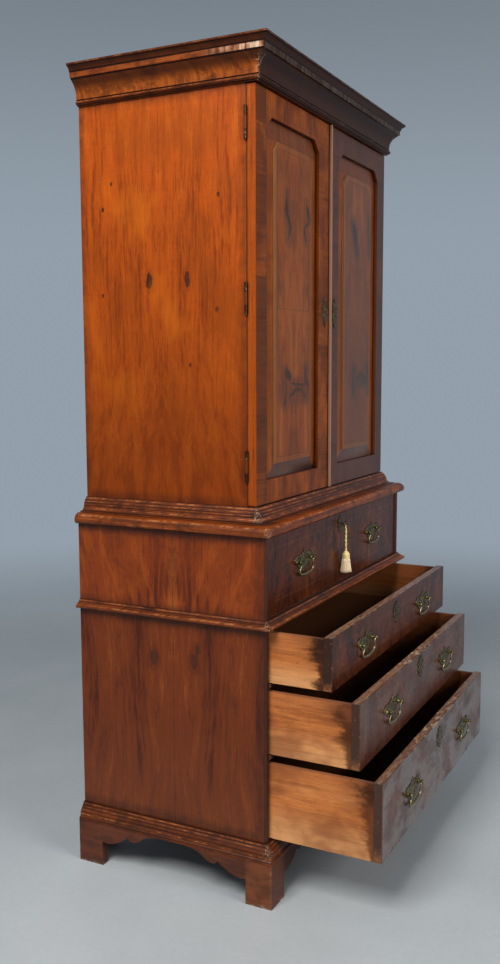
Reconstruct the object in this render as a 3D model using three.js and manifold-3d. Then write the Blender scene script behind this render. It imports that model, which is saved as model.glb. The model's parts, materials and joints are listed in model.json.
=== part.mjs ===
// Walnut secretaire press: a two-door cabinet standing on a chest with a fall-front
// secretaire drawer and three long drawers, shown with the long drawers pulled out.
// Millimetres. X to the right of the front, -Y towards the viewer, Z up.
import * as THREE from 'three';
import { mergeVertices } from 'three/addons/utils/BufferGeometryUtils.js';
import Module from 'manifold-3d';

const wasm = await Module();
wasm.setup();

// ---- driving dimensions ----
const GAP = 0.3; // between touching boards
const TOTAL_HEIGHT = 2050;
const CABINET_HALF = 447.5; // half width of the upper cabinet
const CHEST_HALF = 488.5; // half width of the chest below
const BOARD = 20; // carcass side thickness
const BACK = 10; // back board thickness
const DOOR_FACE = -495.8;
const DOOR_THICK = 24;
const DOOR_BACK = DOOR_FACE + DOOR_THICK;
const CABINET_EDGE = DOOR_BACK + 0.8; // front edge of the cabinet sides
const DOOR_LOW = 975;
const DOOR_HIGH = 1953;
const CORNICE_LOW = 1956;
const WAIST_LOW = 935; // cabinet stands here
const WAIST_HIGH = 973;
const TOP_BOARD_LOW = 908;
const MID_LOW = 686.5;
const MID_HIGH = 708;
const BASE_LOW = 112;
const BASE_HIGH = 154;
const DRAWER_FACE = -536; // closed drawer front
const FRONT_THICK = 22;
const CHEST_EDGE = -535.3; // front edge of the chest sides
const BEAD_FACE = -541; // face of the half round edge strips
const FRONT_HALF = 467.2;
const SIDE_OUT = 466.2; // outer face of a drawer side
const SIDE_THICK = 12;
const FALL_LOW = 711;
const FALL_HIGH = 905;
const BAIL_DROP = 36;
const POST_SPACING = 92;
const POST_REACH = 16;
const SEC_HANDLE_X = 255;
const DRAWER_HANDLE_X = 240;
const KEY_Z = 872;
const DRAWERS = [
  { name: 'drawer_1', low: 551, high: 680, out: 166, handleZ: 617, keyZ: 638 },
  { name: 'drawer_2', low: 372, high: 533, out: 237, handleZ: 457, keyZ: 495 },
  { name: 'drawer_3', low: 158, high: 352, out: 294, handleZ: 254, keyZ: 304 },
];

// ---- materials ----
function mat(color, roughness, metalness = 0) {
  return new THREE.MeshStandardMaterial({ color, roughness, metalness });
}
const walnutSide = mat(0x7a4a28, 0.45);
const walnutChest = mat(0x5e3320, 0.45);
const walnutFront = mat(0x54301f, 0.32);
const moulding = mat(0x4a2a1c, 0.4);
const lining = mat(0x9a6a40, 0.7);
const shelfWood = mat(0x6e4426, 0.6);
const brass = mat(0x9a8450, 0.4, 1);
const steel = mat(0x6f6a62, 0.45, 1);
const cream = mat(0xcdbf9c, 0.9);

// ---- groups: one per moving body ----
const press = new THREE.Group();
press.name = 'secretaire_press';
const body = new THREE.Group();
body.name = 'bodies';
press.add(body);

// ---- geometry helpers ----
function add(name, geometry, material) {
  const mesh = new THREE.Mesh(geometry, material.clone());
  mesh.name = name;
  body.add(mesh);
  return mesh;
}

function box(x0, x1, y0, y1, z0, z1) {
  const g = new THREE.BoxGeometry(x1 - x0, y1 - y0, z1 - z0);
  g.translate((x0 + x1) / 2, (y0 + y1) / 2, (z0 + z1) / 2);
  return g;
}

function mirrorX(g) {
  const m = g.index ? g.toNonIndexed() : g.clone();
  m.scale(-1, 1, 1);
  const p = m.attributes.position;
  for (let i = 0; i < p.count; i += 3) {
    const a = [p.getX(i), p.getY(i), p.getZ(i)];
    p.setXYZ(i, p.getX(i + 1), p.getY(i + 1), p.getZ(i + 1));
    p.setXYZ(i + 1, ...a);
  }
  m.computeVertexNormals();
  return m;
}

function shapeOf(points) {
  const s = new THREE.Shape();
  points.forEach(([x, y], i) => (i ? s.lineTo(x, y) : s.moveTo(x, y)));
  s.closePath();
  return s;
}

// Outline in X and Z, given a thickness from face yFront back to yBack.
function plate(shape, yFront, yBack, curveSegments = 6) {
  const g = new THREE.ExtrudeGeometry(shape, {
    depth: yBack - yFront,
    bevelEnabled: false,
    curveSegments,
  });
  g.rotateX(Math.PI / 2);
  g.translate(0, yBack, 0);
  return g;
}

// Rod along X, Y or Z.
function rod(axis, radius, from, to, a, b, segments = 12) {
  const g = new THREE.CylinderGeometry(radius, radius, to - from, segments);
  const mid = (from + to) / 2;
  if (axis === 'x') {
    g.rotateZ(Math.PI / 2);
    g.translate(mid, a, b);
  } else if (axis === 'y') {
    g.translate(a, mid, b);
  } else {
    g.rotateX(Math.PI / 2);
    g.translate(a, b, mid);
  }
  return g;
}

function solid(g) {
  const c = g.clone();
  c.deleteAttribute('normal');
  c.deleteAttribute('uv');
  const m = mergeVertices(c, 1e-3);
  return new wasm.Manifold(new wasm.Mesh({
    numProp: 3,
    vertProperties: new Float32Array(m.attributes.position.array),
    triVerts: new Uint32Array(m.index.array),
  }));
}

function unsolid(manifold) {
  const m = manifold.getMesh();
  const g = new THREE.BufferGeometry();
  g.setAttribute('position', new THREE.BufferAttribute(new Float32Array(m.vertProperties), 3));
  g.setIndex(new THREE.BufferAttribute(new Uint32Array(m.triVerts), 1));
  const flat = g.toNonIndexed();
  flat.computeVertexNormals();
  return flat;
}

function cut(g, tools) {
  let s = solid(g);
  for (const t of tools) {
    s = s.subtract(solid(t));
  }
  return unsolid(s);
}

function fuse(list) {
  let s = solid(list[0]);
  for (const g of list.slice(1)) {
    s = s.add(solid(g));
  }
  return unsolid(s);
}

// Moulding along a side or a front: profile points are [projection, height].
// The run is sheared at each end so that two runs meet in a mitre.
function run(profile, length, startMitre, endMitre) {
  const g = new THREE.ExtrudeGeometry(shapeOf(profile), { depth: length, bevelEnabled: false });
  const p = g.attributes.position;
  for (let i = 0; i < p.count; i += 1) {
    const out = p.getX(i);
    if (p.getZ(i) < length / 2) {
      p.setZ(i, -startMitre * out);
    } else {
      p.setZ(i, length + endMitre * out);
    }
  }
  return g;
}

// Three runs round a carcass of the given half width whose front plane is at yFront.
function surround(profile, half, yFront, yWrap) {
  const side = run(profile, -yFront, 0, 1);
  // local (out, height, along) -> left side: x = -half - out, y = -along, z = height
  const toLeft = new THREE.Matrix4().set(
    -1, 0, 0, -half,
    0, 0, -1, 0,
    0, 1, 0, 0,
    0, 0, 0, 1,
  );
  side.applyMatrix4(toLeft);
  const left = flipIfNeeded(side);
  const back = profile.map(([p, z]) => [p <= 0 ? yFront - yWrap : p, z]);
  const front = run(back, 2 * half, 1, 1);
  // local (out, height, along) -> x = along - half, y = yFront - out, z = height
  const toFront = new THREE.Matrix4().set(
    0, 0, 1, -half,
    -1, 0, 0, yFront,
    0, 1, 0, 0,
    0, 0, 0, 1,
  );
  front.applyMatrix4(toFront);
  const middle = flipIfNeeded(front);
  return { left, right: mirrorX(left), front: middle };
}

function volume(g) {
  const p = g.index ? g.toNonIndexed().attributes.position : g.attributes.position;
  const a = new THREE.Vector3();
  const b = new THREE.Vector3();
  const c = new THREE.Vector3();
  let v = 0;
  for (let i = 0; i < p.count; i += 3) {
    a.fromBufferAttribute(p, i);
    b.fromBufferAttribute(p, i + 1);
    c.fromBufferAttribute(p, i + 2);
    v += a.dot(b.cross(c)) / 6;
  }
  return v;
}

function flipIfNeeded(g) {
  if (volume(g) > 0) {
    return g;
  }
  const m = g.index ? g.toNonIndexed() : g;
  const p = m.attributes.position;
  for (let i = 0; i < p.count; i += 3) {
    const a = [p.getX(i), p.getY(i), p.getZ(i)];
    p.setXYZ(i, p.getX(i + 1), p.getY(i + 1), p.getZ(i + 1));
    p.setXYZ(i + 1, ...a);
  }
  m.computeVertexNormals();
  return m;
}

// Plate whose front outline is smaller than its back one.
function frustum(outer, inner, yFront, yBack) {
  const g = plate(shapeOf(outer), yFront, yBack);
  const p = g.attributes.position;
  for (let i = 0; i < p.count; i += 1) {
    if (Math.abs(p.getY(i) - yFront) > 1e-3) {
      continue;
    }
    let best = 0;
    let far = Infinity;
    outer.forEach(([x, z], k) => {
      const d = Math.hypot(x - p.getX(i), z - p.getZ(i));
      if (d < far) {
        far = d;
        best = k;
      }
    });
    p.setX(i, inner[best][0]);
    p.setZ(i, inner[best][1]);
  }
  return g;
}

// Back made of boards tongued together, with a shallow groove at each joint.
function backPanel(half, z0, z1, count) {
  const grooves = [];
  for (let i = 1; i < count; i += 1) {
    const x = -half + (2 * half * i) / count;
    grooves.push(box(x - 1, x + 1, -2.5, 1, z0 - 1, z1 + 1));
  }
  return cut(box(-half, half, -BACK, 0, z0, z1), grooves);
}

// ---- upper cabinet ----
const CAB_IN = CABINET_HALF - BOARD;
const HINGE_X = CABINET_HALF + 4.1;
const HINGE_Y = DOOR_BACK + 0.4;
const HINGES = [1070, 1468, 1868];
const LEAF_TALL = 76;
const LEAF_DEEP = 1.6;
const LEAF_END = CABINET_HALF - 17;

function leafPockets(yFront, yBack) {
  return HINGES.map((z) => box(
    -CABINET_HALF - 1,
    -LEAF_END + 0.3,
    yFront,
    yBack,
    z - LEAF_TALL / 2 - 0.3,
    z + LEAF_TALL / 2 + 0.3,
  ));
}

const sideBoard = box(-CABINET_HALF, -CAB_IN, CABINET_EDGE, 0, WAIST_LOW + GAP, 2041.7);
const leftSide = cut(sideBoard, leafPockets(CABINET_EDGE - 1, CABINET_EDGE + LEAF_DEEP + 0.2));
add('cabinet_left_side', leftSide, walnutSide);
add('cabinet_right_side', mirrorX(leftSide), walnutSide);
const inner = CAB_IN - GAP;
add('cabinet_top_board', box(-inner, inner, CABINET_EDGE, -BACK - GAP, 1958, 1978), shelfWood);
add('cabinet_bottom_board', box(-inner, inner, CABINET_EDGE, -BACK - GAP, 953, 973), shelfWood);
add('cabinet_back', backPanel(inner, WAIST_LOW + GAP, 2041.7, 4), shelfWood);
const shelfFront = CABINET_EDGE + 22;
add('cabinet_shelves', fuse([
  box(-8, 8, shelfFront, -BACK - GAP, WAIST_HIGH + GAP, 1958 - GAP),
  ...[1225, 1475, 1725].map((z) => box(-inner, inner, shelfFront, -BACK - GAP, z, z + 16)),
]), shelfWood);
const CORNICE = [
  [0, CORNICE_LOW], [5, 1956], [5, 1958], [9.5, 1960], [12, 1963], [12, 1966], [10, 1969], [7, 1970],
  [9, 1971], [9, 1982], [11, 1992], [17, 2004], [26, 2013], [30, 2017], [34, 2018], [34, 2030],
  [36, 2032], [38, 2038], [42, 2042], [45, 2044], [47, 2045], [48, 2050], [0, TOTAL_HEIGHT],
];
const FRONT_LINE = DOOR_FACE - 4;
function surroundOf(profile, half, yFront, yWrap) {
  const parts = surround(profile, half, yFront, yWrap);
  return [parts.left, parts.front, parts.right];
}

add('cornice', fuse([
  ...surroundOf(CORNICE, CABINET_HALF + GAP, FRONT_LINE, CABINET_EDGE - GAP),
  box(-CABINET_HALF - 5, CABINET_HALF + 5, FRONT_LINE - 5, 0, 2042, TOTAL_HEIGHT),
]), moulding);

const WAIST = [
  [0, WAIST_LOW + GAP], [33, WAIST_LOW + GAP], [33, 937], [22, 939], [18, 943], [16, 949],
  [14.5, 955], [12, 961], [9, 966], [5, 970], [4, 973], [0, WAIST_HIGH],
];
add('waist_moulding', fuse(
  surroundOf(WAIST, CABINET_HALF + GAP, DOOR_FACE, CABINET_EDGE - GAP),
), moulding);

// fixed halves of the door hinges: leaf in the side edge, two knuckles and the pin
function fixedHinge(z) {
  const y0 = CABINET_EDGE + 0.1;
  const low = z - LEAF_TALL / 2;
  const high = z + LEAF_TALL / 2;
  const third = 22;
  return fuse([
    box(-CABINET_HALF + 0.5, -LEAF_END, y0, y0 + 1.5, low, high),
    box(-HINGE_X, -CABINET_HALF + 1, y0, y0 + 1.5, low, low + third),
    box(-HINGE_X, -CABINET_HALF + 1, y0, y0 + 1.5, high - third, high),
    rod('z', 3.5, low, low + third, -HINGE_X, HINGE_Y),
    rod('z', 3.5, high - third, high, -HINGE_X, HINGE_Y),
    rod('z', 1.5, low + 1, high - 1, -HINGE_X, HINGE_Y),
  ]);
}

function doorHinge(z) {
  const y1 = DOOR_BACK - 0.1;
  const low = z - LEAF_TALL / 2;
  const high = z + LEAF_TALL / 2;
  const knuckle = cut(rod('z', 3.5, low + 22.5, high - 22.5, -HINGE_X, HINGE_Y), [
    rod('z', 2, low, high, -HINGE_X, HINGE_Y),
  ]);
  return [knuckle, box(-HINGE_X + 2.6, -LEAF_END, y1 - 1.5, y1, low + 22.5, high - 22.5)];
}

['lower', 'middle', 'upper'].forEach((place, i) => {
  const hinge = fixedHinge(HINGES[i]);
  add(`left_hinge_${place}`, hinge, brass);
  add(`right_hinge_${place}`, mirrorX(hinge), brass);
});

// ---- doors ----
const RECESS = { x0: 388, x1: 70, low: 1033, high: 1895, cant: 29 };
const FIELD = { x0: 337, x1: 117, low: 1070, high: 1846, cant: 20 };
const DOOR_MEET = 0.5;

function canted(r, grow, sign = -1) {
  const a = sign * (r.x0 + grow);
  const b = sign * (r.x1 - grow);
  const c = r.cant;
  const d = sign * c;
  return [
    [a, r.low - grow], [b, r.low - grow], [b, r.high + grow - c],
    [b + d, r.high + grow], [a - d, r.high + grow], [a, r.high + grow - c],
  ];
}

function doorFrame() {
  const zl = DOOR_LOW;
  const zh = DOOR_HIGH;
  const lip = DOOR_FACE + 10;
  const shell = 10; // the panel runs this far behind the frame
  const x0 = -446.9;
  const x1 = -DOOR_MEET;
  const blank = box(x0, x1, DOOR_FACE, DOOR_BACK, zl, zh);
  const daylight = plate(shapeOf(canted(RECESS, 0)), DOOR_FACE - 1, DOOR_BACK + 1);
  const rebate = box(
    -RECESS.x0 - shell,
    -RECESS.x1 + shell,
    lip,
    DOOR_BACK + 1,
    RECESS.low - shell,
    RECESS.high + shell,
  );
  const bored = cut(blank, [
    daylight,
    rebate,
    ...leafPockets(DOOR_BACK - 0.6, DOOR_BACK + 1),
  ]);
  return fuse([bored, ...HINGES.flatMap(doorHinge)]);
}

function doorPanel() {
  const lip = DOOR_FACE + 10;
  const edge = 9.4;
  const slab = box(
    -RECESS.x0 - edge,
    -RECESS.x1 + edge,
    lip + 1.4,
    DOOR_BACK - 3,
    RECESS.low - edge,
    RECESS.high + edge,
  );
  const show = canted(RECESS, -0.6);
  const field = canted(FIELD, 0);
  return fuse([
    slab,
    plate(shapeOf(show), lip + 0.6, lip + 2.4),
    frustum(show, field, lip - 4.4, lip + 0.7),
    plate(shapeOf(field), DOOR_FACE + 1.6, lip),
  ]);
}

const frame = doorFrame();
const panel = doorPanel();
add('left_door_frame', frame, walnutFront);
add('left_door_panel', panel, walnutFront);
add('right_door_frame', fuse([
  mirrorX(frame),
  box(1, 10, DOOR_FACE - 6, DOOR_FACE + 1, DOOR_LOW, DOOR_HIGH),
]), walnutFront);
add('right_door_panel', mirrorX(panel), walnutFront);

// ---- secretaire carcass ----
const torus = [
  [0, TOP_BOARD_LOW], [0, WAIST_LOW], [3, WAIST_LOW], [9, 932], [14, 927], [16.5, 920],
  [16.5, 915], [14, 910], [10, TOP_BOARD_LOW],
].reverse();
const topFront = -541;
const topCore = box(
  -CHEST_HALF,
  CHEST_HALF,
  topFront,
  0,
  TOP_BOARD_LOW,
  WAIST_LOW,
);
const torusParts = surround(torus, CHEST_HALF, topFront, topFront);
add('secretaire_top_board', fuse([
  topCore,
  torusParts.left,
  torusParts.right,
  torusParts.front,
]), moulding);
const CHEST_IN = CHEST_HALF - BOARD;

// ---- chest carcass ----
const chestIn = CHEST_IN - GAP;

// half round strips on the front edges
function halfRound(width) {
  const s = new THREE.Shape();
  const deep = CHEST_EDGE + 0.5 - BEAD_FACE;
  s.moveTo(0, 0);
  s.lineTo(width, 0);
  s.quadraticCurveTo(width - 1, deep * 0.85, width * 0.75, deep);
  s.lineTo(width * 0.25, deep);
  s.quadraticCurveTo(1, deep * 0.85, 0, 0);
  return s;
}

function edgeStrip(x0, z0, z1) {
  const g = new THREE.ExtrudeGeometry(halfRound(BOARD), {
    depth: z1 - z0,
    bevelEnabled: false,
    curveSegments: 3,
  });
  g.applyMatrix4(new THREE.Matrix4().set(
    1, 0, 0, x0,
    0, -1, 0, CHEST_EDGE + 0.5,
    0, 0, 1, z0,
    0, 0, 0, 1,
  ));
  return flipIfNeeded(g);
}

function railStrip(z0, width) {
  const g = new THREE.ExtrudeGeometry(halfRound(width), {
    depth: 2 * chestIn,
    bevelEnabled: false,
    curveSegments: 3,
  });
  g.applyMatrix4(new THREE.Matrix4().set(
    0, 0, 1, -chestIn,
    0, -1, 0, CHEST_EDGE + 0.5,
    1, 0, 0, z0,
    0, 0, 0, 1,
  ));
  return flipIfNeeded(g);
}

const lowerSide = fuse([
  box(-CHEST_HALF, -CHEST_IN, CHEST_EDGE, 0, BASE_LOW + GAP, TOP_BOARD_LOW - GAP),
  edgeStrip(-CHEST_HALF, MID_HIGH + GAP, TOP_BOARD_LOW - GAP),
  edgeStrip(-CHEST_HALF, BASE_HIGH + GAP, MID_LOW - GAP),
]);
add('lower_left_side', lowerSide, walnutChest);
add('lower_right_side', mirrorX(lowerSide), walnutChest);
add('chest_top_board', box(-chestIn, chestIn, CHEST_EDGE, -BACK - GAP, 684, MID_HIGH), shelfWood);
add('lower_drawer_divider', fuse([
  box(-chestIn, chestIn, CHEST_EDGE, -BACK - GAP, 354, 370),
  railStrip(354, 16),
]), shelfWood);
add('upper_drawer_divider', fuse([
  box(-chestIn, chestIn, CHEST_EDGE, -BACK - GAP, 535, 549),
  railStrip(535, 14),
]), shelfWood);
add('chest_bottom_board', box(
  -chestIn,
  chestIn,
  CHEST_EDGE,
  -BACK - GAP,
  136,
  BASE_HIGH,
), shelfWood);
add('lower_back', backPanel(chestIn, BASE_LOW + GAP, TOP_BOARD_LOW - GAP, 4), shelfWood);

const MID = [
  [0, MID_LOW], [18, MID_LOW], [20, 689], [20, 692.5], [18, 695], [14, 696], [12, 698],
  [7, 701.5], [4, 704], [2, 708], [0, MID_HIGH],
];
add('mid_moulding', fuse(
  surroundOf(MID, CHEST_HALF + GAP, BEAD_FACE, CHEST_EDGE - GAP),
), moulding);
const BASE = [
  [0, BASE_LOW], [26.6, 112], [26.6, 114], [24, 118], [21, 121], [21, 128], [17, 136],
  [12, 142.5], [8, 148], [6, 153], [0, BASE_HIGH],
];
add('base_moulding', fuse(
  surroundOf(BASE, CHEST_HALF + GAP, BEAD_FACE, CHEST_EDGE - GAP),
), moulding);

// ---- bracket feet ----
const FOOT_OUT = CHEST_HALF + 26.3;
const FOOT_FRONT = BEAD_FACE - 26.6;
const FOOT_THICK = 22;
const FOOT_TOP = BASE_LOW - GAP;

// outline of one bracket: u runs away from the corner, two lobes hang below the rail
function bracket(leg) {
  const s = new THREE.Shape();
  s.moveTo(0, 0);
  s.lineTo(leg, 0);
  s.lineTo(leg, 65);
  s.quadraticCurveTo(leg + 22, 58, leg + 50, 73);
  s.quadraticCurveTo(leg + 70, 83, leg + 78, 93);
  s.quadraticCurveTo(leg + 80, 84, leg + 92, 83);
  s.quadraticCurveTo(leg + 110, 84, leg + 124, 98);
  s.quadraticCurveTo(leg + 140, 110, leg + 182, FOOT_TOP);
  s.lineTo(0, FOOT_TOP);
  s.closePath();
  return s;
}

// bracket on a side face, its corner at yCorner, running towards +Y or -Y
function sideBracket(shape, yCorner, towards) {
  const g = new THREE.ExtrudeGeometry(shape, {
    depth: FOOT_THICK,
    bevelEnabled: false,
    curveSegments: 5,
  });
  g.applyMatrix4(new THREE.Matrix4().set(
    0, 0, 1, -FOOT_OUT,
    towards, 0, 0, yCorner,
    0, 1, 0, 0,
    0, 0, 0, 1,
  ));
  return flipIfNeeded(g);
}

function frontBracket(shape) {
  const g = new THREE.ExtrudeGeometry(shape, {
    depth: FOOT_THICK,
    bevelEnabled: false,
    curveSegments: 5,
  });
  g.applyMatrix4(new THREE.Matrix4().set(
    1, 0, 0, -FOOT_OUT,
    0, 0, 1, FOOT_FRONT,
    0, 1, 0, 0,
    0, 0, 0, 1,
  ));
  return flipIfNeeded(g);
}

const frontShape = bracket(71);
const footFar = -FOOT_OUT + FOOT_THICK;
const frontFoot = fuse([
  sideBracket(frontShape, FOOT_FRONT, 1),
  frontBracket(frontShape),
  box(footFar - 1, footFar + 24, FOOT_FRONT + 21, FOOT_FRONT + FOOT_THICK + 24, 2, FOOT_TOP),
]);
add('foot_front_left', frontFoot, walnutChest);
add('foot_front_right', mirrorX(frontFoot), walnutChest);
const rearFoot = fuse([
  sideBracket(bracket(74), 0, -1),
  box(footFar - 1, footFar + 128, -18, 0, 0, FOOT_TOP),
  box(footFar - 1, footFar + 24, -42, -17, 2, FOOT_TOP),
]);
add('foot_rear_left', rearFoot, walnutChest);
add('foot_rear_right', mirrorX(rearFoot), walnutChest);

// ---- handles ----
function batwing(x, z) {
  const s = new THREE.Shape();
  const pts = [
    [0, 30], [6, 23], [13, 21], [17, 15], [24, 19], [34, 15], [44, 18], [58, 12], [62, 3],
    [54, -5], [42, -8], [34, -17], [24, -16], [17, -24], [9, -26], [0, -36],
  ];
  const all = [...pts, ...pts.slice(1, -1).reverse().map(([a, b]) => [-a, b])];
  all.forEach(([a, b], i) => (i ? s.lineTo(x + a, z + b) : s.moveTo(x + a, z + b)));
  s.closePath();
  return s;
}

function handlePlate(x, z, yFace) {
  const parts = [plate(batwing(x, z), yFace - 1.5, yFace - GAP)];
  for (const side of [-1, 1]) {
    const px = x + (side * POST_SPACING) / 2;
    parts.push(rod('y', 4, yFace - POST_REACH, yFace - 1, px, z, 10));
    parts.push(rod('y', 6.5, yFace - 3.5, yFace - 1, px, z, 10));
  }
  return fuse(parts);
}

class BailPath extends THREE.Curve {
  constructor(x, y, z) {
    super();
    this.at = [x, y, z];
    const h = POST_SPACING / 2 - 4.6;
    this.curve = new THREE.CatmullRomCurve3([
      new THREE.Vector3(-h, 0, 0),
      new THREE.Vector3(-h + 4, 0, -1),
      new THREE.Vector3(-h + 5, 0, -9),
      new THREE.Vector3(-h - 1, 0, -19),
      new THREE.Vector3(-h + 1, 0, -29),
      new THREE.Vector3(-h + 14, 0, -35),
      new THREE.Vector3(0, 0, -BAIL_DROP),
      new THREE.Vector3(h - 14, 0, -35),
      new THREE.Vector3(h - 1, 0, -29),
      new THREE.Vector3(h + 1, 0, -19),
      new THREE.Vector3(h - 5, 0, -9),
      new THREE.Vector3(h - 4, 0, -1),
      new THREE.Vector3(h, 0, 0),
    ]);
  }

  getPoint(t, target = new THREE.Vector3()) {
    const p = this.curve.getPoint(t, target);
    return p.set(p.x + this.at[0], p.y + this.at[1], p.z + this.at[2]);
  }
}

function tube(path, radius, steps, sides) {
  const s = new THREE.Shape();
  for (let i = 0; i < sides; i += 1) {
    const a = (i * 2 * Math.PI) / sides;
    const q = [radius * Math.cos(a), radius * Math.sin(a)];
    if (i) {
      s.lineTo(...q);
    } else {
      s.moveTo(...q);
    }
  }
  s.closePath();
  return flipIfNeeded(new THREE.ExtrudeGeometry(s, { steps, extrudePath: path, bevelEnabled: false }));
}

function bail(x, z, yFace) {
  return tube(new BailPath(x, yFace - POST_REACH + 4.5, z), 2.3, 24, 8);
}

// ---- secretaire drawer ----
const secIn = SIDE_OUT - SIDE_THICK;
const fallBack = DRAWER_FACE + FRONT_THICK;
const boxFront = fallBack + 0.4;
const WRITE_TOP = FALL_LOW + FRONT_THICK; // writing surface, level with the open fall
add('secretaire_box', fuse([
  box(-SIDE_OUT, -secIn, boxFront, -20, FALL_LOW, 898),
  box(secIn, SIDE_OUT, boxFront, -20, FALL_LOW, 898),
  box(-SIDE_OUT, SIDE_OUT, -32, -20, FALL_LOW, 898),
  box(-SIDE_OUT, SIDE_OUT, boxFront, -20, WRITE_TOP - 14, WRITE_TOP),
]), lining);
const PIGEON = { front: -290, half: 438, top: 886 };
const holes = 6;
const pigeons = [box(
  -PIGEON.half,
  PIGEON.half,
  PIGEON.front,
  -33,
  PIGEON.top - 7,
  PIGEON.top,
)];
const pitch = (2 * PIGEON.half - 7) / holes;
for (let i = 0; i <= holes; i += 1) {
  const x = -PIGEON.half + i * pitch;
  pigeons.push(box(x, x + 7, PIGEON.front, -33, WRITE_TOP + GAP, PIGEON.top - 3));
}
add('secretaire_pigeonholes', fuse(pigeons), walnutFront);

// ---- fall front ----
const fallBoard = box(-FRONT_HALF, FRONT_HALF, DRAWER_FACE, fallBack, FALL_LOW, FALL_HIGH);
add('fall_board', cut(fallBoard, [
  rod('y', 5, DRAWER_FACE - 1, DRAWER_FACE + 14, 0, KEY_Z, 12),
]), walnutFront);
add('fall_left_handle_plate', handlePlate(-SEC_HANDLE_X, 815, DRAWER_FACE), brass);
add('fall_right_handle_plate', handlePlate(SEC_HANDLE_X, 815, DRAWER_FACE), brass);
for (const [side, name] of [[-1, 'left'], [1, 'right']]) {
  add(`fall_${name}_bail`, bail(side * SEC_HANDLE_X, 815, DRAWER_FACE), brass);
}

// key: shank in the lock, flat bow outside
const BOW_Y = DRAWER_FACE - 17;
function keyBow() {
  const s = new THREE.Shape();
  s.absarc(0, 0, 9.5, 0, Math.PI * 2, false);
  const h = new THREE.Path();
  h.absarc(0, 0, 5.5, 0, Math.PI * 2, true);
  s.holes.push(h);
  const g = new THREE.ExtrudeGeometry(s, { depth: 3, bevelEnabled: false, curveSegments: 12 });
  g.applyMatrix4(new THREE.Matrix4().set(
    0, 0, 1, -1.5,
    1, 0, 0, BOW_Y,
    0, 1, 0, KEY_Z,
    0, 0, 0, 1,
  ));
  return flipIfNeeded(g);
}
add('key', fuse([
  rod('y', 2.2, DRAWER_FACE - 9, DRAWER_FACE + 12, 0, KEY_Z, 10),
  keyBow(),
]), steel);

// cord and tassel hanging below the key bow
const cordTop = KEY_Z - 12.5;
const TASSEL_TOP = 797;
const TASSEL_LOW = 738;
const cordPath = new THREE.LineCurve3(
  new THREE.Vector3(0, BOW_Y, cordTop),
  new THREE.Vector3(0, BOW_Y, TASSEL_TOP + 0.3),
);
add('tassel_cord', tube(cordPath, 2.6, 8, 8), cream);
const tassel = new THREE.LatheGeometry([
  new THREE.Vector2(0, TASSEL_LOW), new THREE.Vector2(15, TASSEL_LOW),
  new THREE.Vector2(13.5, 752), new THREE.Vector2(11.5, 768), new THREE.Vector2(10.4, 774),
  new THREE.Vector2(10.8, 784), new THREE.Vector2(7.5, 791), new THREE.Vector2(3, 796),
  new THREE.Vector2(0, TASSEL_TOP),
], 16);
tassel.rotateX(Math.PI / 2);
tassel.translate(0, BOW_Y, 0);
add('tassel', flipIfNeeded(tassel), cream);

// ---- long drawers ----
for (const d of DRAWERS) {
  const face = DRAWER_FACE - d.out;
  const rear = face + 500;
  const back = face + FRONT_THICK;
  add(`${d.name}_front`, box(-FRONT_HALF, FRONT_HALF, face, back, d.low, d.high), walnutFront);
  const high = d.high - 4;
  const floor = d.low + 14;
  add(`${d.name}_box`, fuse([
    box(-SIDE_OUT, -secIn, back + GAP, rear, d.low, high),
    box(secIn, SIDE_OUT, back + GAP, rear, d.low, high),
    box(-SIDE_OUT, SIDE_OUT, rear - 12, rear, d.low + 5, high - 4),
    box(-SIDE_OUT, SIDE_OUT, back + GAP, rear, floor - 9, floor),
  ]), lining);
  for (const [side, name] of [[-1, 'left'], [1, 'right']]) {
    const x = side * DRAWER_HANDLE_X;
    add(`${d.name}_${name}_handle_plate`, handlePlate(x, d.handleZ, face), brass);
    add(`${d.name}_${name}_bail`, bail(x, d.handleZ, face), brass);
  }
}

// The origin is under the middle of the whole thing as it stands with its drawers out.
const extent = new THREE.Box3().setFromObject(body);
body.position.y = -(extent.min.y + extent.max.y) / 2;
press.updateMatrixWorld(true);

export default press;
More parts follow.
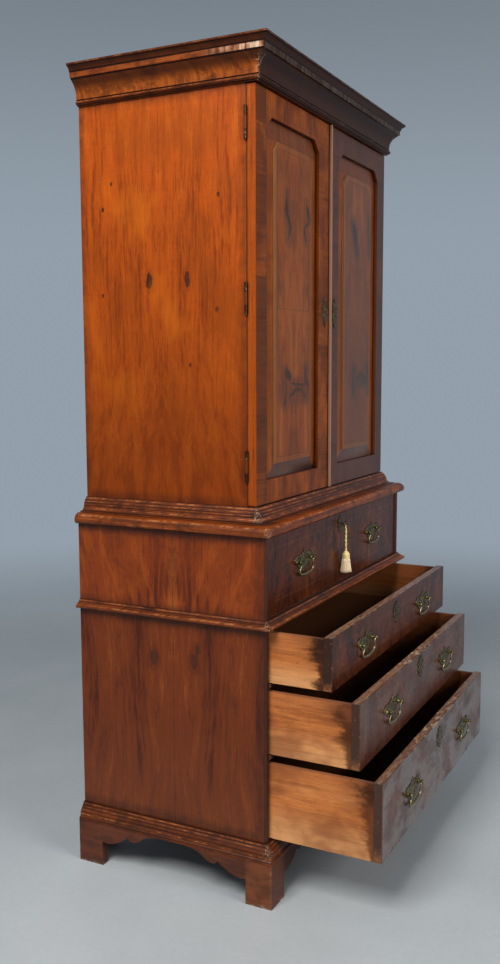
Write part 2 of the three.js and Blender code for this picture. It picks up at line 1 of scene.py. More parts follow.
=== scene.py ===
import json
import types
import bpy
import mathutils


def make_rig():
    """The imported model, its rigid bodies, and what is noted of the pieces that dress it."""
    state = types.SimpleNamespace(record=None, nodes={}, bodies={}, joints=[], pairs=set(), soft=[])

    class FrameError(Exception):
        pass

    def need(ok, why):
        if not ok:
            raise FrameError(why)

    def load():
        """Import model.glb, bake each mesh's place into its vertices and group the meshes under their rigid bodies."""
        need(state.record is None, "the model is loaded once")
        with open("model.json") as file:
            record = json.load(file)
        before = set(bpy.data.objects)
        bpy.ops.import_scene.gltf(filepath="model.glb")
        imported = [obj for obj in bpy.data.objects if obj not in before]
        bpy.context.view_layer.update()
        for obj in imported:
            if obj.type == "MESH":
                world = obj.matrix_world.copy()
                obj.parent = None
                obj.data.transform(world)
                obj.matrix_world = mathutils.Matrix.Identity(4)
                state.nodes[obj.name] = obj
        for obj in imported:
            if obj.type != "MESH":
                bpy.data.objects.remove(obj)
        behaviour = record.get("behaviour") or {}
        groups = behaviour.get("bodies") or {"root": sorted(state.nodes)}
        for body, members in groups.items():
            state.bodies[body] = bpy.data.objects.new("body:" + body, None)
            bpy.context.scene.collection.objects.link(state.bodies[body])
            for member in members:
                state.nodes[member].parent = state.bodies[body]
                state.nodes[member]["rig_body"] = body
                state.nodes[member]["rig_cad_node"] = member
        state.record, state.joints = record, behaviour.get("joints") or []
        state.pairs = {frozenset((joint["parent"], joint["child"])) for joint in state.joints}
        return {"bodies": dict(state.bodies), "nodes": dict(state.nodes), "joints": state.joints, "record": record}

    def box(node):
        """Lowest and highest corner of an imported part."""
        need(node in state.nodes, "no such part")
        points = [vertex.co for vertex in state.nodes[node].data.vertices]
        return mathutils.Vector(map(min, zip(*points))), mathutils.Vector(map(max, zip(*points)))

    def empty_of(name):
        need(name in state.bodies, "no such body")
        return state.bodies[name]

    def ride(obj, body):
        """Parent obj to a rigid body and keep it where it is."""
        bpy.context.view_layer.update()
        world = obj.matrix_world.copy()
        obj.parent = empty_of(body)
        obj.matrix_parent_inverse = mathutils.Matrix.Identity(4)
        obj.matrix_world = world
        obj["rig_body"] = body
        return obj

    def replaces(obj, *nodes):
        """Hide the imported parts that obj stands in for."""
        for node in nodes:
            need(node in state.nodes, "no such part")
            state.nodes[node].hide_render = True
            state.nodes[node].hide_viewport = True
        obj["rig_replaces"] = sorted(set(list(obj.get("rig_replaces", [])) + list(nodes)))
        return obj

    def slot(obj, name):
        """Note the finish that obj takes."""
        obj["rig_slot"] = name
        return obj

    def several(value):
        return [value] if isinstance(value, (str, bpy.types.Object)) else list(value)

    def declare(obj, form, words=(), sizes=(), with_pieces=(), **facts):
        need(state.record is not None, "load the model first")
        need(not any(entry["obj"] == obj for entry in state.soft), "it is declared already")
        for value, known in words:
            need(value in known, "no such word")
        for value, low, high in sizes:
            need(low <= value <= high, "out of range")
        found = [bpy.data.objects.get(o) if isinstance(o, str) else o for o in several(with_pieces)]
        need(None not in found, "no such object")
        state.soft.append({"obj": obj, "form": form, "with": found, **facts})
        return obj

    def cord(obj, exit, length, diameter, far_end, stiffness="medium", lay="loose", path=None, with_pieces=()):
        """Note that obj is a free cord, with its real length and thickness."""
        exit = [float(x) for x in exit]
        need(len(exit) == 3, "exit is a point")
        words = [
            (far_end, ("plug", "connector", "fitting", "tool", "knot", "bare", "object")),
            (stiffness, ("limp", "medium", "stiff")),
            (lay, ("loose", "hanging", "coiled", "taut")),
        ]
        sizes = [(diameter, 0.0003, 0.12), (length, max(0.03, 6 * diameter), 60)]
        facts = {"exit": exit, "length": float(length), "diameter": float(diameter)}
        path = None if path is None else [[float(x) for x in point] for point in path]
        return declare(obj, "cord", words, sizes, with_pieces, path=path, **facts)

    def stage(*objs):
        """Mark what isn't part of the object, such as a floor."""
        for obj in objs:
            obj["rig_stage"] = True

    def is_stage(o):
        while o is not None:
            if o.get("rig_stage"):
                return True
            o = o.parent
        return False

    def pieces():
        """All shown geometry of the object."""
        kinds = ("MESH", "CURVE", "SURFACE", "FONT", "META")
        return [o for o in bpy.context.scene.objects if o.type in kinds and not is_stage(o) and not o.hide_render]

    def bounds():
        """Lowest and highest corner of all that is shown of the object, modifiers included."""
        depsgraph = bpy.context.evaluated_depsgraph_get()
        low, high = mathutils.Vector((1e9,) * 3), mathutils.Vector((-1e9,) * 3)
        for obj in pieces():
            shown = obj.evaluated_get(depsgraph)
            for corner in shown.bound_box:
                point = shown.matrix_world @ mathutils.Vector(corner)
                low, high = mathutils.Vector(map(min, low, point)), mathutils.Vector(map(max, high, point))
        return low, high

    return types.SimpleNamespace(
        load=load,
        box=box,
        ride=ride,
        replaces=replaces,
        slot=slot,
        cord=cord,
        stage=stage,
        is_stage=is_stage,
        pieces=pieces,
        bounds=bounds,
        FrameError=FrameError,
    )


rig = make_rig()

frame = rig.load()

import json
import random
from math import cos, exp, pi, radians, sin, sqrt

import bmesh
import bpy
from mathutils import Matrix, Vector

scene = bpy.context.scene
cad_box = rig.bounds()

mm = 0.001


def corners(node):
    """A node's lowest and highest corners at rest, to a tenth of a millimetre."""
    low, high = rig.box(node)
    return [round(v, 4) for v in low], [round(v, 4) for v in high]


BACK = corners("cabinet_back")[1][1]            # the plane of the press's back
CABINET = corners("cabinet_right_side")[1][0]   # half width of the cabinet
CHEST = corners("lower_right_side")[1][0]       # half width of the chest
CHEST_FRONT = BACK - 0.541                      # the front of the chest's carcass
DOOR_Y = corners("left_door_frame")[0][1]       # the front plane of the doors
FALL_Y = corners("fall_board")[0][1]            # the front plane of the fall
FALL_LOW, FALL_HIGH = [corner[2] for corner in corners("fall_board")]
FRONT_HALF = corners("drawer_1_front")[1][0]    # half width of every drawer front
POST_SPAN = 0.092                               # between the two posts of a handle
POST_REACH = 0.016                              # from the face to the bail's axis
FILM = 0.0003                                   # the wax between a plate and the face it lies on

DRAWERS = {}                                    # low, high, front plane, handle height, keyhole height
for _name, _hz, _kz in (("drawer_1", 0.617, 0.638), ("drawer_2", 0.457, 0.495), ("drawer_3", 0.254, 0.304)):
    _low, _high = corners(_name + "_front")
    DRAWERS[_name] = (_low[2], _high[2], _low[1], _hz, _kz)

BACKDROP = (0.29, 0.345, 0.4)                   # the colour behind and all round
KEY = Vector((0.0, BACK - 0.553, 0.872))        # the middle of the key's bow


# ---- camera
def make_camera():
    eye = Vector((-2.5282, BACK - 1.5315, 1.3065))
    yaw, pitch, roll = 1.1025, 0.1165, -0.0033
    fwd = Vector((sin(yaw) * cos(pitch), cos(yaw) * cos(pitch), -sin(pitch)))
    right = Vector((cos(yaw), -sin(yaw), 0))
    up = right.cross(fwd)
    r2 = right * cos(roll) + up * sin(roll)
    u2 = up * cos(roll) - right * sin(roll)
    data = bpy.data.cameras.new("camera")
    data.sensor_width = 36
    data.lens = 36.54
    data.clip_start, data.clip_end = 0.05, 60
    cam = bpy.data.objects.new("camera", data)
    scene.collection.objects.link(cam)
    rot = Matrix((r2, u2, -fwd)).transposed()
    cam.matrix_world = Matrix.Translation(eye) @ rot.to_4x4()
    scene.camera = cam


make_camera()


# ---- node helpers
def worked(op, swapped=False):
    """The method that puts a value into one sum, on the left or on the right."""
    if swapped:
        return lambda self, other: self.net.math(op, other, self)
    return lambda self, other: self.net.math(op, self, other)


class Value:
    """A number worked out by nodes, which takes part in sums like any other."""

    def __init__(self, net, socket):
        self.net, self.socket = net, socket

    __add__, __radd__ = worked("ADD"), worked("ADD", True)
    __sub__, __rsub__ = worked("SUBTRACT"), worked("SUBTRACT", True)
    __mul__, __rmul__ = worked("MULTIPLY"), worked("MULTIPLY", True)
    __truediv__, __rtruediv__ = worked("DIVIDE"), worked("DIVIDE", True)

    def __abs__(self):
        return self.net.math("ABSOLUTE", self)


class Net:
    """One node material, built with short calls. Coordinates are the object's own, in metres.

    colour is the colour so far: each lay() puts one more tone over it.
    """

    def __init__(self, name):
        self.mat = bpy.data.materials.new(name)
        self.mat.use_nodes = True
        self.tree = self.mat.node_tree
        self.tree.nodes.clear()
        self.out = self.new("OutputMaterial")
        self.bsdf = self.new("BsdfPrincipled")
        self.tree.links.new(self.bsdf.outputs[0], self.out.inputs[0])
        coord = self.new("TexCoord")
        self.x, self.y, self.z = self.split(coord.outputs["Object"])
        self.nx, self.ny, self.nz = self.split(coord.outputs["Normal"])

    def split(self, vector):
        n = self.new("SeparateXYZ")
        self.tree.links.new(vector, n.inputs[0])
        return [Value(self, s) for s in n.outputs]

    def new(self, kind):
        return self.tree.nodes.new("ShaderNode" + kind)

    def put(self, socket, value):
        if isinstance(value, Value):
            value = value.socket
        if isinstance(value, bpy.types.NodeSocket):
            self.tree.links.new(value, socket)
        elif isinstance(value, (tuple, list)) and len(value) == 3 and len(socket.default_value) == 4:
            socket.default_value = (*value, 1)
        else:
            socket.default_value = value

    def math(self, op, a, b=0.0, clamp=False):
        n = self.new("Math")
        n.operation = op
        n.use_clamp = clamp
        self.put(n.inputs[0], a)
        self.put(n.inputs[1], b)
        return Value(self, n.outputs[0])

    def lo(self, a, b):
        return self.math("MINIMUM", a, b)

    def hi(self, a, b):
        return self.math("MAXIMUM", a, b)

    def vec(self, x, y, z):
        n = self.new("CombineXYZ")
        for s, v in zip(n.inputs, (x, y, z)):
            self.put(s, v)
        return n.outputs[0]

    def vector(self, op, a, b):
        n = self.new("VectorMath")
        n.operation = op
        self.put(n.inputs[0], a)
        self.put(n.inputs[1], b)
        return n

    def noise(self, at, detail=2.0, rough=0.5, scale=1.0, distort=0.0):
        n = self.new("TexNoise")
        self.put(n.inputs["Vector"], self.vec(*at))
        for key, v in (("Scale", scale), ("Detail", detail), ("Roughness", rough), ("Distortion", distort)):
            n.inputs[key].default_value = v
        return Value(self, n.outputs["Fac"])

    def cloud(self, sx, sy, sz, detail, rough):
        """Noise with so many blobs to the metre along each axis."""
        return self.noise((self.x * sx, self.y * sy, self.z * sz), detail, rough)

    def step(self, v, a, b):
        """0 at a, 1 at b, smooth between."""
        n = self.new("MapRange")
        n.interpolation_type = "SMOOTHSTEP"
        self.put(n.inputs["Value"], v)
        n.inputs["From Min"].default_value = a
        n.inputs["From Max"].default_value = b
        return Value(self, n.outputs["Result"])

    def line(self, v, at, wide, narrow):
        """1 along the line where v is at, 0 further off than wide."""
        return self.step(abs(v - at), wide, narrow)

    def ramp(self, fac, stops):
        n = self.new("ValToRGB")
        self.put(n.inputs[0], fac)
        els = n.color_ramp.elements
        while len(els) < len(stops):
            els.new(0.5)
        for e, (p, c) in zip(els, stops):
            e.position = p
            e.color = (*c, 1)
        return n.outputs[0]

    def mix(self, fac, a, b, mode="MIX"):
        """A colour: a where fac is 0, b where it is 1."""
        n = self.new("Mix")
        n.data_type = "RGBA"
        n.blend_type = mode
        self.put(n.inputs[0], fac)
        self.put(n.inputs[6], a)
        self.put(n.inputs[7], b)
        return n.outputs[2]

    def lay(self, fac, tone, mode="MIX"):
        """Lays a tone over the colour so far, where fac is 1."""
        self.colour = self.mix(fac, self.colour, tone, mode)

    def pick(self, fac, a, b):
        """A number: a where fac is 0, b where it is 1."""
        n = self.new("Mix")
        n.data_type = "FLOAT"
        self.put(n.inputs[0], fac)
        self.put(n.inputs[2], a)
        self.put(n.inputs[3], b)
        return Value(self, n.outputs[0])

    def crevice(self, reach):
        """1 in corners and under edges, 0 in the open."""
        n = self.new("AmbientOcclusion")
        n.samples = 6
        n.inputs["Distance"].default_value = reach
        return self.step(n.outputs["AO"], 0.92, 0.45)

    def bump(self, height, distance, strength=1.0):
        n = self.new("Bump")
        n.inputs["Distance"].default_value = distance
        n.inputs["Strength"].default_value = strength
        self.put(n.inputs["Height"], height)
        self.put(self.bsdf.inputs["Normal"], n.outputs[0])

    def set(self, **values):
        for k, v in values.items():
            self.put(self.bsdf.inputs[k.replace("_", " ")], v)
        return self.mat


def shade(colour, k):
    return tuple(min(1, c * k) for c in colour)


def tones(dark, mid, light):
    return [(0.385, dark), (0.475, mid), (0.545, shade(mid, 1.15)), (0.64, light)]


def knot_field(n, u, g, knots, seed):
    """How near each point is to a knot: 1 in its heart, 0 well away. Knots are (u, g, radius, radius)."""
    warp = (n.noise((u * 130, g * 60, seed), 3, 0.6) - 0.5) * 1.6
    near = None
    for ku, kg, ru, rg in knots:
        du = (u - ku) / ru
        dg = (g - kg) / rg
        d = n.math("SQRT", du * du + dg * dg) + warp
        one = n.step(d, 3.4, 0.0)
        near = one if near is None else n.hi(near, one)
    return near


def grain(n, u, g, seed, palette, warp=0.05, broad=12.0, streak=110.0, knots=None, heart=0.96):
    """Walnut figure: u runs across the grain and g along it, both in metres."""
    wig = n.noise((u * 4.0, g * 1.3, seed), 2, 0.5)
    shift = (wig - 0.5) * (warp * 2)
    if knots is not None:
        shift = shift + knots * 0.01
    uu = u + shift
    wide = n.noise((uu * broad, g * 2.2, seed + 1.7), 4, 0.62)
    lines = n.noise((uu * streak, g * 5.0, seed + 3.1), 4, 0.66)
    fibre = n.noise((u * 520, g * 26, seed + 5.3), 2, 0.6)
    value = wide * 0.44 + lines * 0.32 + fibre * 0.24
    colour = n.ramp(value, palette)
    pores = n.noise((u * 1300, g * 70, seed + 9.1), 1, 0.5)
    dark = n.step(pores, 0.58, 0.7)
    colour = n.mix(dark * 0.45, colour, shade(palette[0][1], 0.5))
    if knots is not None:
        ring = n.step(knots, 0.08, 0.3) * n.step(knots, 0.62, 0.4)
        colour = n.mix(ring * 0.35, colour, shade(palette[0][1], 1.1))
        colour = n.mix(n.step(knots, 0.5, 0.66) * heart, colour, (0.012, 0.006, 0.004))
    return colour, value, pores


def polish(n, value, pores, rough=0.34, coat=0.35, scuff=0.12, depth=0.00025, level=0.42):
    """Waxed and handled wood: uneven gloss, open pores, a thin coat."""
    wear = n.cloud(7, 7, 7, 4, 0.6)
    r = rough - scuff / 2 + wear * scuff
    r = r + n.step(pores, 0.58, 0.72) * 0.15
    n.set(Base_Color=n.colour, Roughness=r)
    n.set(Coat_Weight=coat)
    n.set(Coat_Roughness=0.22)
    n.set(Specular_IOR_Level=level)
    n.bump(value * 0.5 + pores * -0.5, depth, 0.5)
    return n.mat


def scratch(n, amount=0.25, pale=(0.32, 0.2, 0.12)):
    """Fine pale scuffs and rubs."""
    s = n.cloud(90, 90, 260, 3, 0.7)
    big = n.cloud(5, 5, 5, 2, 0.5)
    m = n.step(s, 0.66, 0.76) * n.step(big, 0.5, 0.65)
    n.lay(m * amount, pale)


# ---- woods
SIDE = tones((0.13, 0.018, 0.001), (0.3, 0.05, 0.002), (0.45, 0.106, 0.007))
SEC_SIDE = tones((0.065, 0.009, 0.001), (0.16, 0.026, 0.002), (0.27, 0.055, 0.006))
CHEST_TONES = tones((0.045, 0.006, 0.001), (0.118, 0.021, 0.002), (0.21, 0.048, 0.007))
STILE_TONES = tones((0.065, 0.013, 0.002), (0.175, 0.038, 0.004), (0.27, 0.072, 0.009))
FRONT_TONES = tones((0.012, 0.003, 0.002), (0.075, 0.014, 0.003), (0.19, 0.045, 0.008))
FIELD_TONES = tones((0.09, 0.02, 0.003), (0.215, 0.052, 0.006), (0.33, 0.092, 0.014))
DARK_TONES = tones((0.008, 0.003, 0.002), (0.04, 0.011, 0.004), (0.12, 0.032, 0.009))
MOULD_TONES = tones((0.016, 0.004, 0.001), (0.11, 0.022, 0.003), (0.34, 0.095, 0.018))
LINING_TONES = tones((0.29, 0.082, 0.019), (0.44, 0.14, 0.037), (0.58, 0.23, 0.076))
INNER_TONES = tones((0.05, 0.014, 0.005), (0.12, 0.036, 0.014), (0.2, 0.075, 0.03))


def cabinet_side():
    n = Net("cabinet_side_walnut")
    seam = BACK - 0.2326
    u = abs(n.y - seam)
    spots = [(0.2015, 1.519, 0.006, 0.013), (0.3105, 1.519, 0.0052, 0.013), (0.392, 1.4455, 0.0035, 0.004),
             (0.316, 1.313, 0.0025, 0.003), (0.094, 1.761, 0.002, 0.003), (0.068, 1.7, 0.002, 0.003),
             (0.397, 1.713, 0.002, 0.003), (0.063, 1.488, 0.002, 0.003)]
    knots = knot_field(n, BACK - n.y, n.z, spots, 3.0)
    # flame figure: in the lower half the grain bends down towards the seam in a V
    low = n.step(n.z, 1.5, 1.12)
    vee = (n.noise((u * 5, n.z * 2.2, 2.0), 3, 0.6) - 0.4) * 0.14
    uu = u + vee * low
    n.colour, value, pores = grain(n, uu, n.z, 1.0, SIDE, 0.04, 15, 120, knots)
    flame = n.noise(((u + n.z * 0.26) * 30, (n.z - u * 1.1) * 7, 4.0), 4, 0.62)
    n.lay(n.step(flame, 0.49, 0.62) * low * 0.6, (0.1, 0.014, 0.001))
    n.lay(n.step(flame, 0.44, 0.34) * low * 0.5, (0.42, 0.1, 0.006))
    curl = n.noise((u * 22, n.z * 11, 6.0), 4, 0.6, 1.0, 1.0)
    n.lay(n.step(curl, 0.52, 0.68) * 0.24, (0.14, 0.022, 0.002))
    cloud = n.noise((n.y * 7, n.z * 4.5, 12.0), 3, 0.55)
    n.lay(n.step(cloud, 0.48, 0.66) * 0.4, (0.17, 0.032, 0.001))
    n.lay(n.step(cloud, 0.46, 0.3) * 0.3, (0.5, 0.125, 0.004))
    # painted shade: the side is darkened towards the bottom, where the light falls off downward
    n.lay(n.step(n.z, 1.8, 1.0) * 0.42, (0.155, 0.028, 0.001))
    n.lay(n.step(n.z, 1.36, 1.06) * 0.38, (0.09, 0.014, 0.001))
    n.lay(n.line(n.y, seam, 0.0015, 0.0) * 0.35, (0.08, 0.012, 0.002))
    # the side is darkened along its rims next to the mouldings and edges: dirt and painted shade
    rim = n.lo(n.lo(n.z - 0.973, 1.957 - n.z), n.lo(BACK - n.y, n.y - (BACK - 0.471)))
    grime_and_shade = n.noise((n.y * 30, n.z * 30, 4.0), 3, 0.6)
    n.lay(n.step(rim, 0.03, 0.003) * (grime_and_shade * 0.95), (0.04, 0.008, 0.003))
    scratch(n, 0.25, (0.5, 0.2, 0.06))
    return polish(n, value, pores, 0.42, 0.0, level=0.13)


def lower_side():
    n = Net("chest_walnut")
    seam = BACK - 0.283
    u = abs(n.y - seam)
    spots = [(0.226, 0.579, 0.008, 0.014), (0.343, 0.582, 0.007, 0.014), (0.352, 0.614, 0.0045, 0.008)]
    knots = knot_field(n, BACK - n.y, n.z, spots, 5.0)
    dark, value, pores = grain(n, u, n.z, 11.0, CHEST_TONES, 0.07, 13, 85, knots, 0.6)
    curl = n.noise((u * 16, n.z * 7, 8.0), 4, 0.6, 1.0, 1.0)
    dark = n.mix(n.step(curl, 0.52, 0.7) * 0.45, dark, (0.05, 0.009, 0.003))
    dark = n.mix(n.step(curl * 0.12 + n.z, 0.52, 0.22) * 0.25, dark, (0.13, 0.042, 0.016))
    bright = grain(n, u, n.z, 15.0, SEC_SIDE, 0.05, 11, 100)[0]
    bright = n.mix(n.step(curl, 0.5, 0.66) * 0.3, bright, (0.07, 0.011, 0.002))
    rings = n.noise(((n.y - seam) * 10, n.z * 15, 14.0), 4, 0.62, 1.0, 1.4)
    bright = n.mix(n.step(rings, 0.5, 0.62) * 0.3, bright, (0.075, 0.013, 0.002))
    vee = n.noise(((u - n.z * 0.3) * 24, (n.z + u) * 5, 9.0), 4, 0.6)
    bright = n.mix(n.step(vee, 0.49, 0.62) * 0.5, bright, (0.27, 0.052, 0.003))
    pale = n.step(u, 0.022, 0.0) * n.step(vee, 0.4, 0.6)
    bright = n.mix(pale * 0.32, bright, (0.4, 0.12, 0.02))
    n.colour = n.mix(n.step(n.z, 0.699, 0.701), dark, bright)
    seamline = n.step(u, 0.0018, 0.0) * 0.6
    n.lay(seamline, (0.03, 0.006, 0.002))
    # the half round strip on the front edge is darker
    strip = n.step(n.y, BACK - 0.535, BACK - 0.5353)
    n.lay(strip * 0.75, (0.03, 0.01, 0.005))
    scratch(n, 0.2)
    # darkened along the rims next to the mouldings: dirt and painted shade
    rim = n.lo(n.lo(n.z - 0.156, abs(n.z - 0.6975)), n.lo(0.906 - n.z, abs(n.y + 0.11)))
    grime_and_shade = n.noise((n.y * 30, n.z * 30, 4.0), 3, 0.6)
    n.lay(n.step(rim, 0.03, 0.008) * (grime_and_shade * 0.85), (0.022, 0.006, 0.003))
    return polish(n, value, pores, 0.38, 0.04, level=0.24)


def foot_wood():
    n = Net("foot_walnut")
    walnut = tones((0.035, 0.008, 0.003), (0.09, 0.021, 0.006), (0.16, 0.048, 0.015))
    n.colour, value, pores = grain(n, n.z, n.x + n.y, 23.0, walnut, 0.03, 16, 120)
    low = n.cloud(20, 20, 20, 4, 0.6)
    n.lay(n.step(n.z, 0.022, 0.0) * n.step(low, 0.35, 0.6), (0.05, 0.025, 0.016))
    corner = n.step(abs(n.x), 0.44, 0.446) * n.step(n.y, -0.07, -0.078)
    n.lay(corner * 0.45, (0.21, 0.062, 0.016))
    arris = n.step(abs(abs(n.x) - 0.5148) + abs(n.y + 0.1446), 0.007, 0.002)
    chip = n.noise((0.0, 0.0, n.z * 90), 3, 0.7)
    n.lay(arris * (n.step(chip, 0.42, 0.66) * 0.45), (0.4, 0.18, 0.08))
    # painted shade: the foot's faces turned to the front are darkened
    n.lay(n.step(n.ny, -0.4, -0.8) * 0.55, (0.028, 0.007, 0.003))
    scuffs = n.cloud(60, 60, 110, 4, 0.7)
    n.lay(n.step(n.z, 0.012, 0.0) * n.step(scuffs, 0.5, 0.62), (0.3, 0.19, 0.13))
    smear = n.cloud(12, 12, 22, 4, 0.65)
    n.lay(n.step(smear, 0.47, 0.62) * 0.55, (0.04, 0.01, 0.004))
    scratch(n, 0.35)
    return polish(n, value, pores, 0.45, 0.04, level=0.28)


def moulding_wood(name, half, front, z0, creases, ridges, gain=1.0):
    """Run along its length, with dirt and painted shade in the creases of the profile and wear and painted highlights
    on its ridges.

    Creases and ridges are (height, half width) in mm; half and front place the corners of the carcass.
    """
    n = Net(name)
    palette = MOULD_TONES
    cornice = name.startswith("cornice")
    upward = n.step(n.nz, 0.7, 0.9)
    along = n.x + n.y
    pal = [(p, shade(c, gain)) for p, c in palette]
    n.colour, value, pores = grain(n, n.z + (n.nx + n.ny) * 0.02, along, 31.0 + z0, pal, 0.004, 45, 330)
    cross = n.noise((along * 70, n.z * 9, z0), 4, 0.65)
    n.lay(n.step(cross, 0.54, 0.68) * 0.35, shade(palette[0][1], 1.5))
    if cornice:
        bright = n.step(n.z, 1.9715, 1.9725) * n.step(n.z, 2.0165, 2.0095)
        fillet = n.step(n.z, 2.017, 2.0185) * n.step(n.z, 2.0315, 2.03)
        warm = n.mix(n.step(cross, 0.36, 0.66), (0.3, 0.072, 0.008), (0.15, 0.03, 0.004))
        n.lay(bright * 0.8, warm)
        # the upper part of the cove, under the fillet, is darkened: painted shadow cast by the fillet, with some dirt
        n.lay(bright * n.step(n.z, 1.986, 2.006) * 0.85, (0.07, 0.015, 0.003))
        patchy = n.noise((along * 14, n.z * 30, 7.0), 4, 0.65)
        n.lay(fillet * n.pick(n.step(patchy, 0.6, 0.42), 0.15, 0.75), (0.21, 0.046, 0.008))
        rub = fillet * n.step(n.y, BACK - 0.36, front - 0.03)
        n.lay(rub * n.step(cross, 0.6, 0.42), (0.5, 0.36, 0.24))
        # painted shade: the faces turned to the front are darkened almost to black
        n.lay(n.step(n.ny, -0.2, -0.5) * 0.9, (0.012, 0.005, 0.004))
        n.lay(n.step(n.z, 2.031, 2.0325) * 0.55, (0.035, 0.01, 0.004))
        boards = grain(n, n.y, n.x, 90.0, INNER_TONES, 0.02, 12, 90)[0]
        dust = n.noise((n.x * 5, n.y * 5, 1.0), 4, 0.65)
        boards = n.mix(n.pick(dust, 0.25, 0.7), boards, (0.16, 0.13, 0.11))
        n.lay(upward, boards)
    lots = n.noise((along * 17, n.z * 22, z0 + 5), 4, 0.66)
    n.lay(n.step(lots, 0.47, 0.6) * n.pick(upward, 0.55, 0.0), shade(palette[0][1], 2.0))
    rag = n.noise((along * 55, n.z * 120, 3.0), 3, 0.6)
    height = value * 0.3
    # darker lines along the creases: dirt and painted shade
    for z, w in creases:
        line = n.line(n.z, z * mm, w * mm, w * 0.3 * mm)
        n.lay(line * n.pick(rag, 0.7, 1.0), (0.01, 0.004, 0.003))
        height = height - line
    # paler lines along the ridges: wear and painted highlight
    for z, w in ridges:
        line = n.line(n.z, z * mm, w * mm, w * 0.3 * mm)
        wear_and_highlight = n.step(rag, 0.4, 0.62) * n.pick(n.step(lots, 0.58, 0.42), 0.12, 0.55)
        n.lay(line * wear_and_highlight, (0.46, 0.18, 0.065))
        height = height + line * 0.6
    ax = abs(abs(n.x) - (half + 0.012))
    ay = abs(n.y - (front - 0.012))
    near = n.step(n.hi(ax, ay), 0.014, 0.004)
    spots = n.cloud(240, 240, 240, 3, 0.7)
    n.lay(near * n.step(spots, 0.5, 0.6) * 0.6, (0.42, 0.28, 0.18))
    mat = polish(n, value, pores, 0.34, 0.04, level=0.11 if cornice else 0.22)
    if cornice:
        n.set(Roughness=n.pick(upward, 0.36, 0.75))
    n.bump(height, 0.0012, 0.7)
    return mat


def front_wood(name, low, high, seed, face, chipped=0.0, painted_sheen=0.0, coat=0.05, level=0.38):
    """A drawer front: figured veneer inside a cross banded border with a thin feather line."""
    n = Net(name)
    u = abs(n.x)
    swirl = n.noise((u * 11, n.z * 8, seed), 4, 0.6)
    uu = u + swirl * 0.06
    field, value, pores = grain(n, uu, n.z, seed, FRONT_TONES, 0.05, 20, 120)
    burr = n.noise((u * 26, n.z * 17, seed + 2), 4, 0.62, 1.0, 1.2)
    field = n.mix(n.step(burr, 0.52, 0.66) * 0.75, field, (0.012, 0.005, 0.004))
    field = n.mix(n.step(burr, 0.44, 0.32) * 0.55, field, (0.16, 0.036, 0.006))
    d = n.lo(FRONT_HALF - u, n.lo(n.z - low, high - n.z))
    cross = grain(n, u + n.z, n.z - u, seed + 4, DARK_TONES, 0.01, 30, 200)[0]
    border = n.step(d, 0.0262, 0.0258)
    n.colour = n.mix(border * 0.38, field, cross)
    black = (0.02, 0.012, 0.01)
    for at, tone in ((0.026, black), (0.032, (0.16, 0.085, 0.04)), (0.038, black)):
        line = n.line(d, at, 0.0014, 0.0006)
        n.lay(line * 0.22, tone)
    # back of the board and its ends are plainer and dirtier
    behind = n.step(n.y, face + 0.002, face + 0.0028)
    plain = grain(n, n.z, n.x, seed + 6, INNER_TONES, 0.02, 18, 130)[0]
    plain = n.mix(n.step(u, 0.464, 0.4655) * 0.94, plain, (0.034, 0.012, 0.007))
    n.lay(behind, plain)
    flecks = n.noise((n.y * 150, n.z * 110, seed), 3, 0.7)
    ends = n.step(u, FRONT_HALF - 0.0017, FRONT_HALF - 0.0006) * behind
    n.lay(ends * n.step(flecks, 0.63, 0.67) * 0.7, (0.42, 0.25, 0.12))
    worn = n.step(high - n.z, 0.002, 0.0006) * behind
    rubs = n.noise((n.x * 26, n.y * 120, seed), 4, 0.7)
    n.lay(worn * n.pick(n.step(rubs, 0.46, 0.6), 0.18, 0.85), (0.2, 0.14, 0.1))
    chips = n.cloud(34, 60, 60, 4, 0.65)
    edge = n.step(d, 0.0022, 0.0008)
    rubbed = edge * n.step(chips, 0.53, 0.63) * (1.0 - behind * 0.8)
    n.lay(rubbed * 0.4, (0.22, 0.13, 0.08))
    if chipped:
        top = n.step(high - n.z, 0.0055, 0.0015)
        mask = top * n.step(chips, 0.55, 0.58) * n.step(u, 0.3, 0.12)
        n.lay(mask * chipped, (0.42, 0.27, 0.16))
    n.lay(ends * 0.7, (0.024, 0.008, 0.004) if low > 0.5 else (0.042, 0.016, 0.008))
    foot = n.step(n.z - low, 0.2 * (high - low), 0.0) * ends
    n.lay(foot * n.pick(n.step(flecks, 0.35, 0.6), 0.3, 0.75), (0.26, 0.095, 0.032))
    # painted sheen: a pale blotchy veil laid on the face, the room's reflection painted in
    sheen_noise = n.cloud(9, 9, 12, 4, 0.6)
    n.lay(n.step(sheen_noise, 0.3, 0.65) * n.pick(behind, painted_sheen, 0.0), (0.115, 0.11, 0.112))
    mat = polish(n, value, pores, 0.27, 0.0, 0.14, level=level)
    if coat:
        film = n.step(n.noise((n.x * 9, n.z * 15, seed + 8), 4, 0.64), 0.42, 0.57) * (2.0 * coat)
        n.set(Coat_Weight=n.pick(behind, film, 0.0))
    return mat


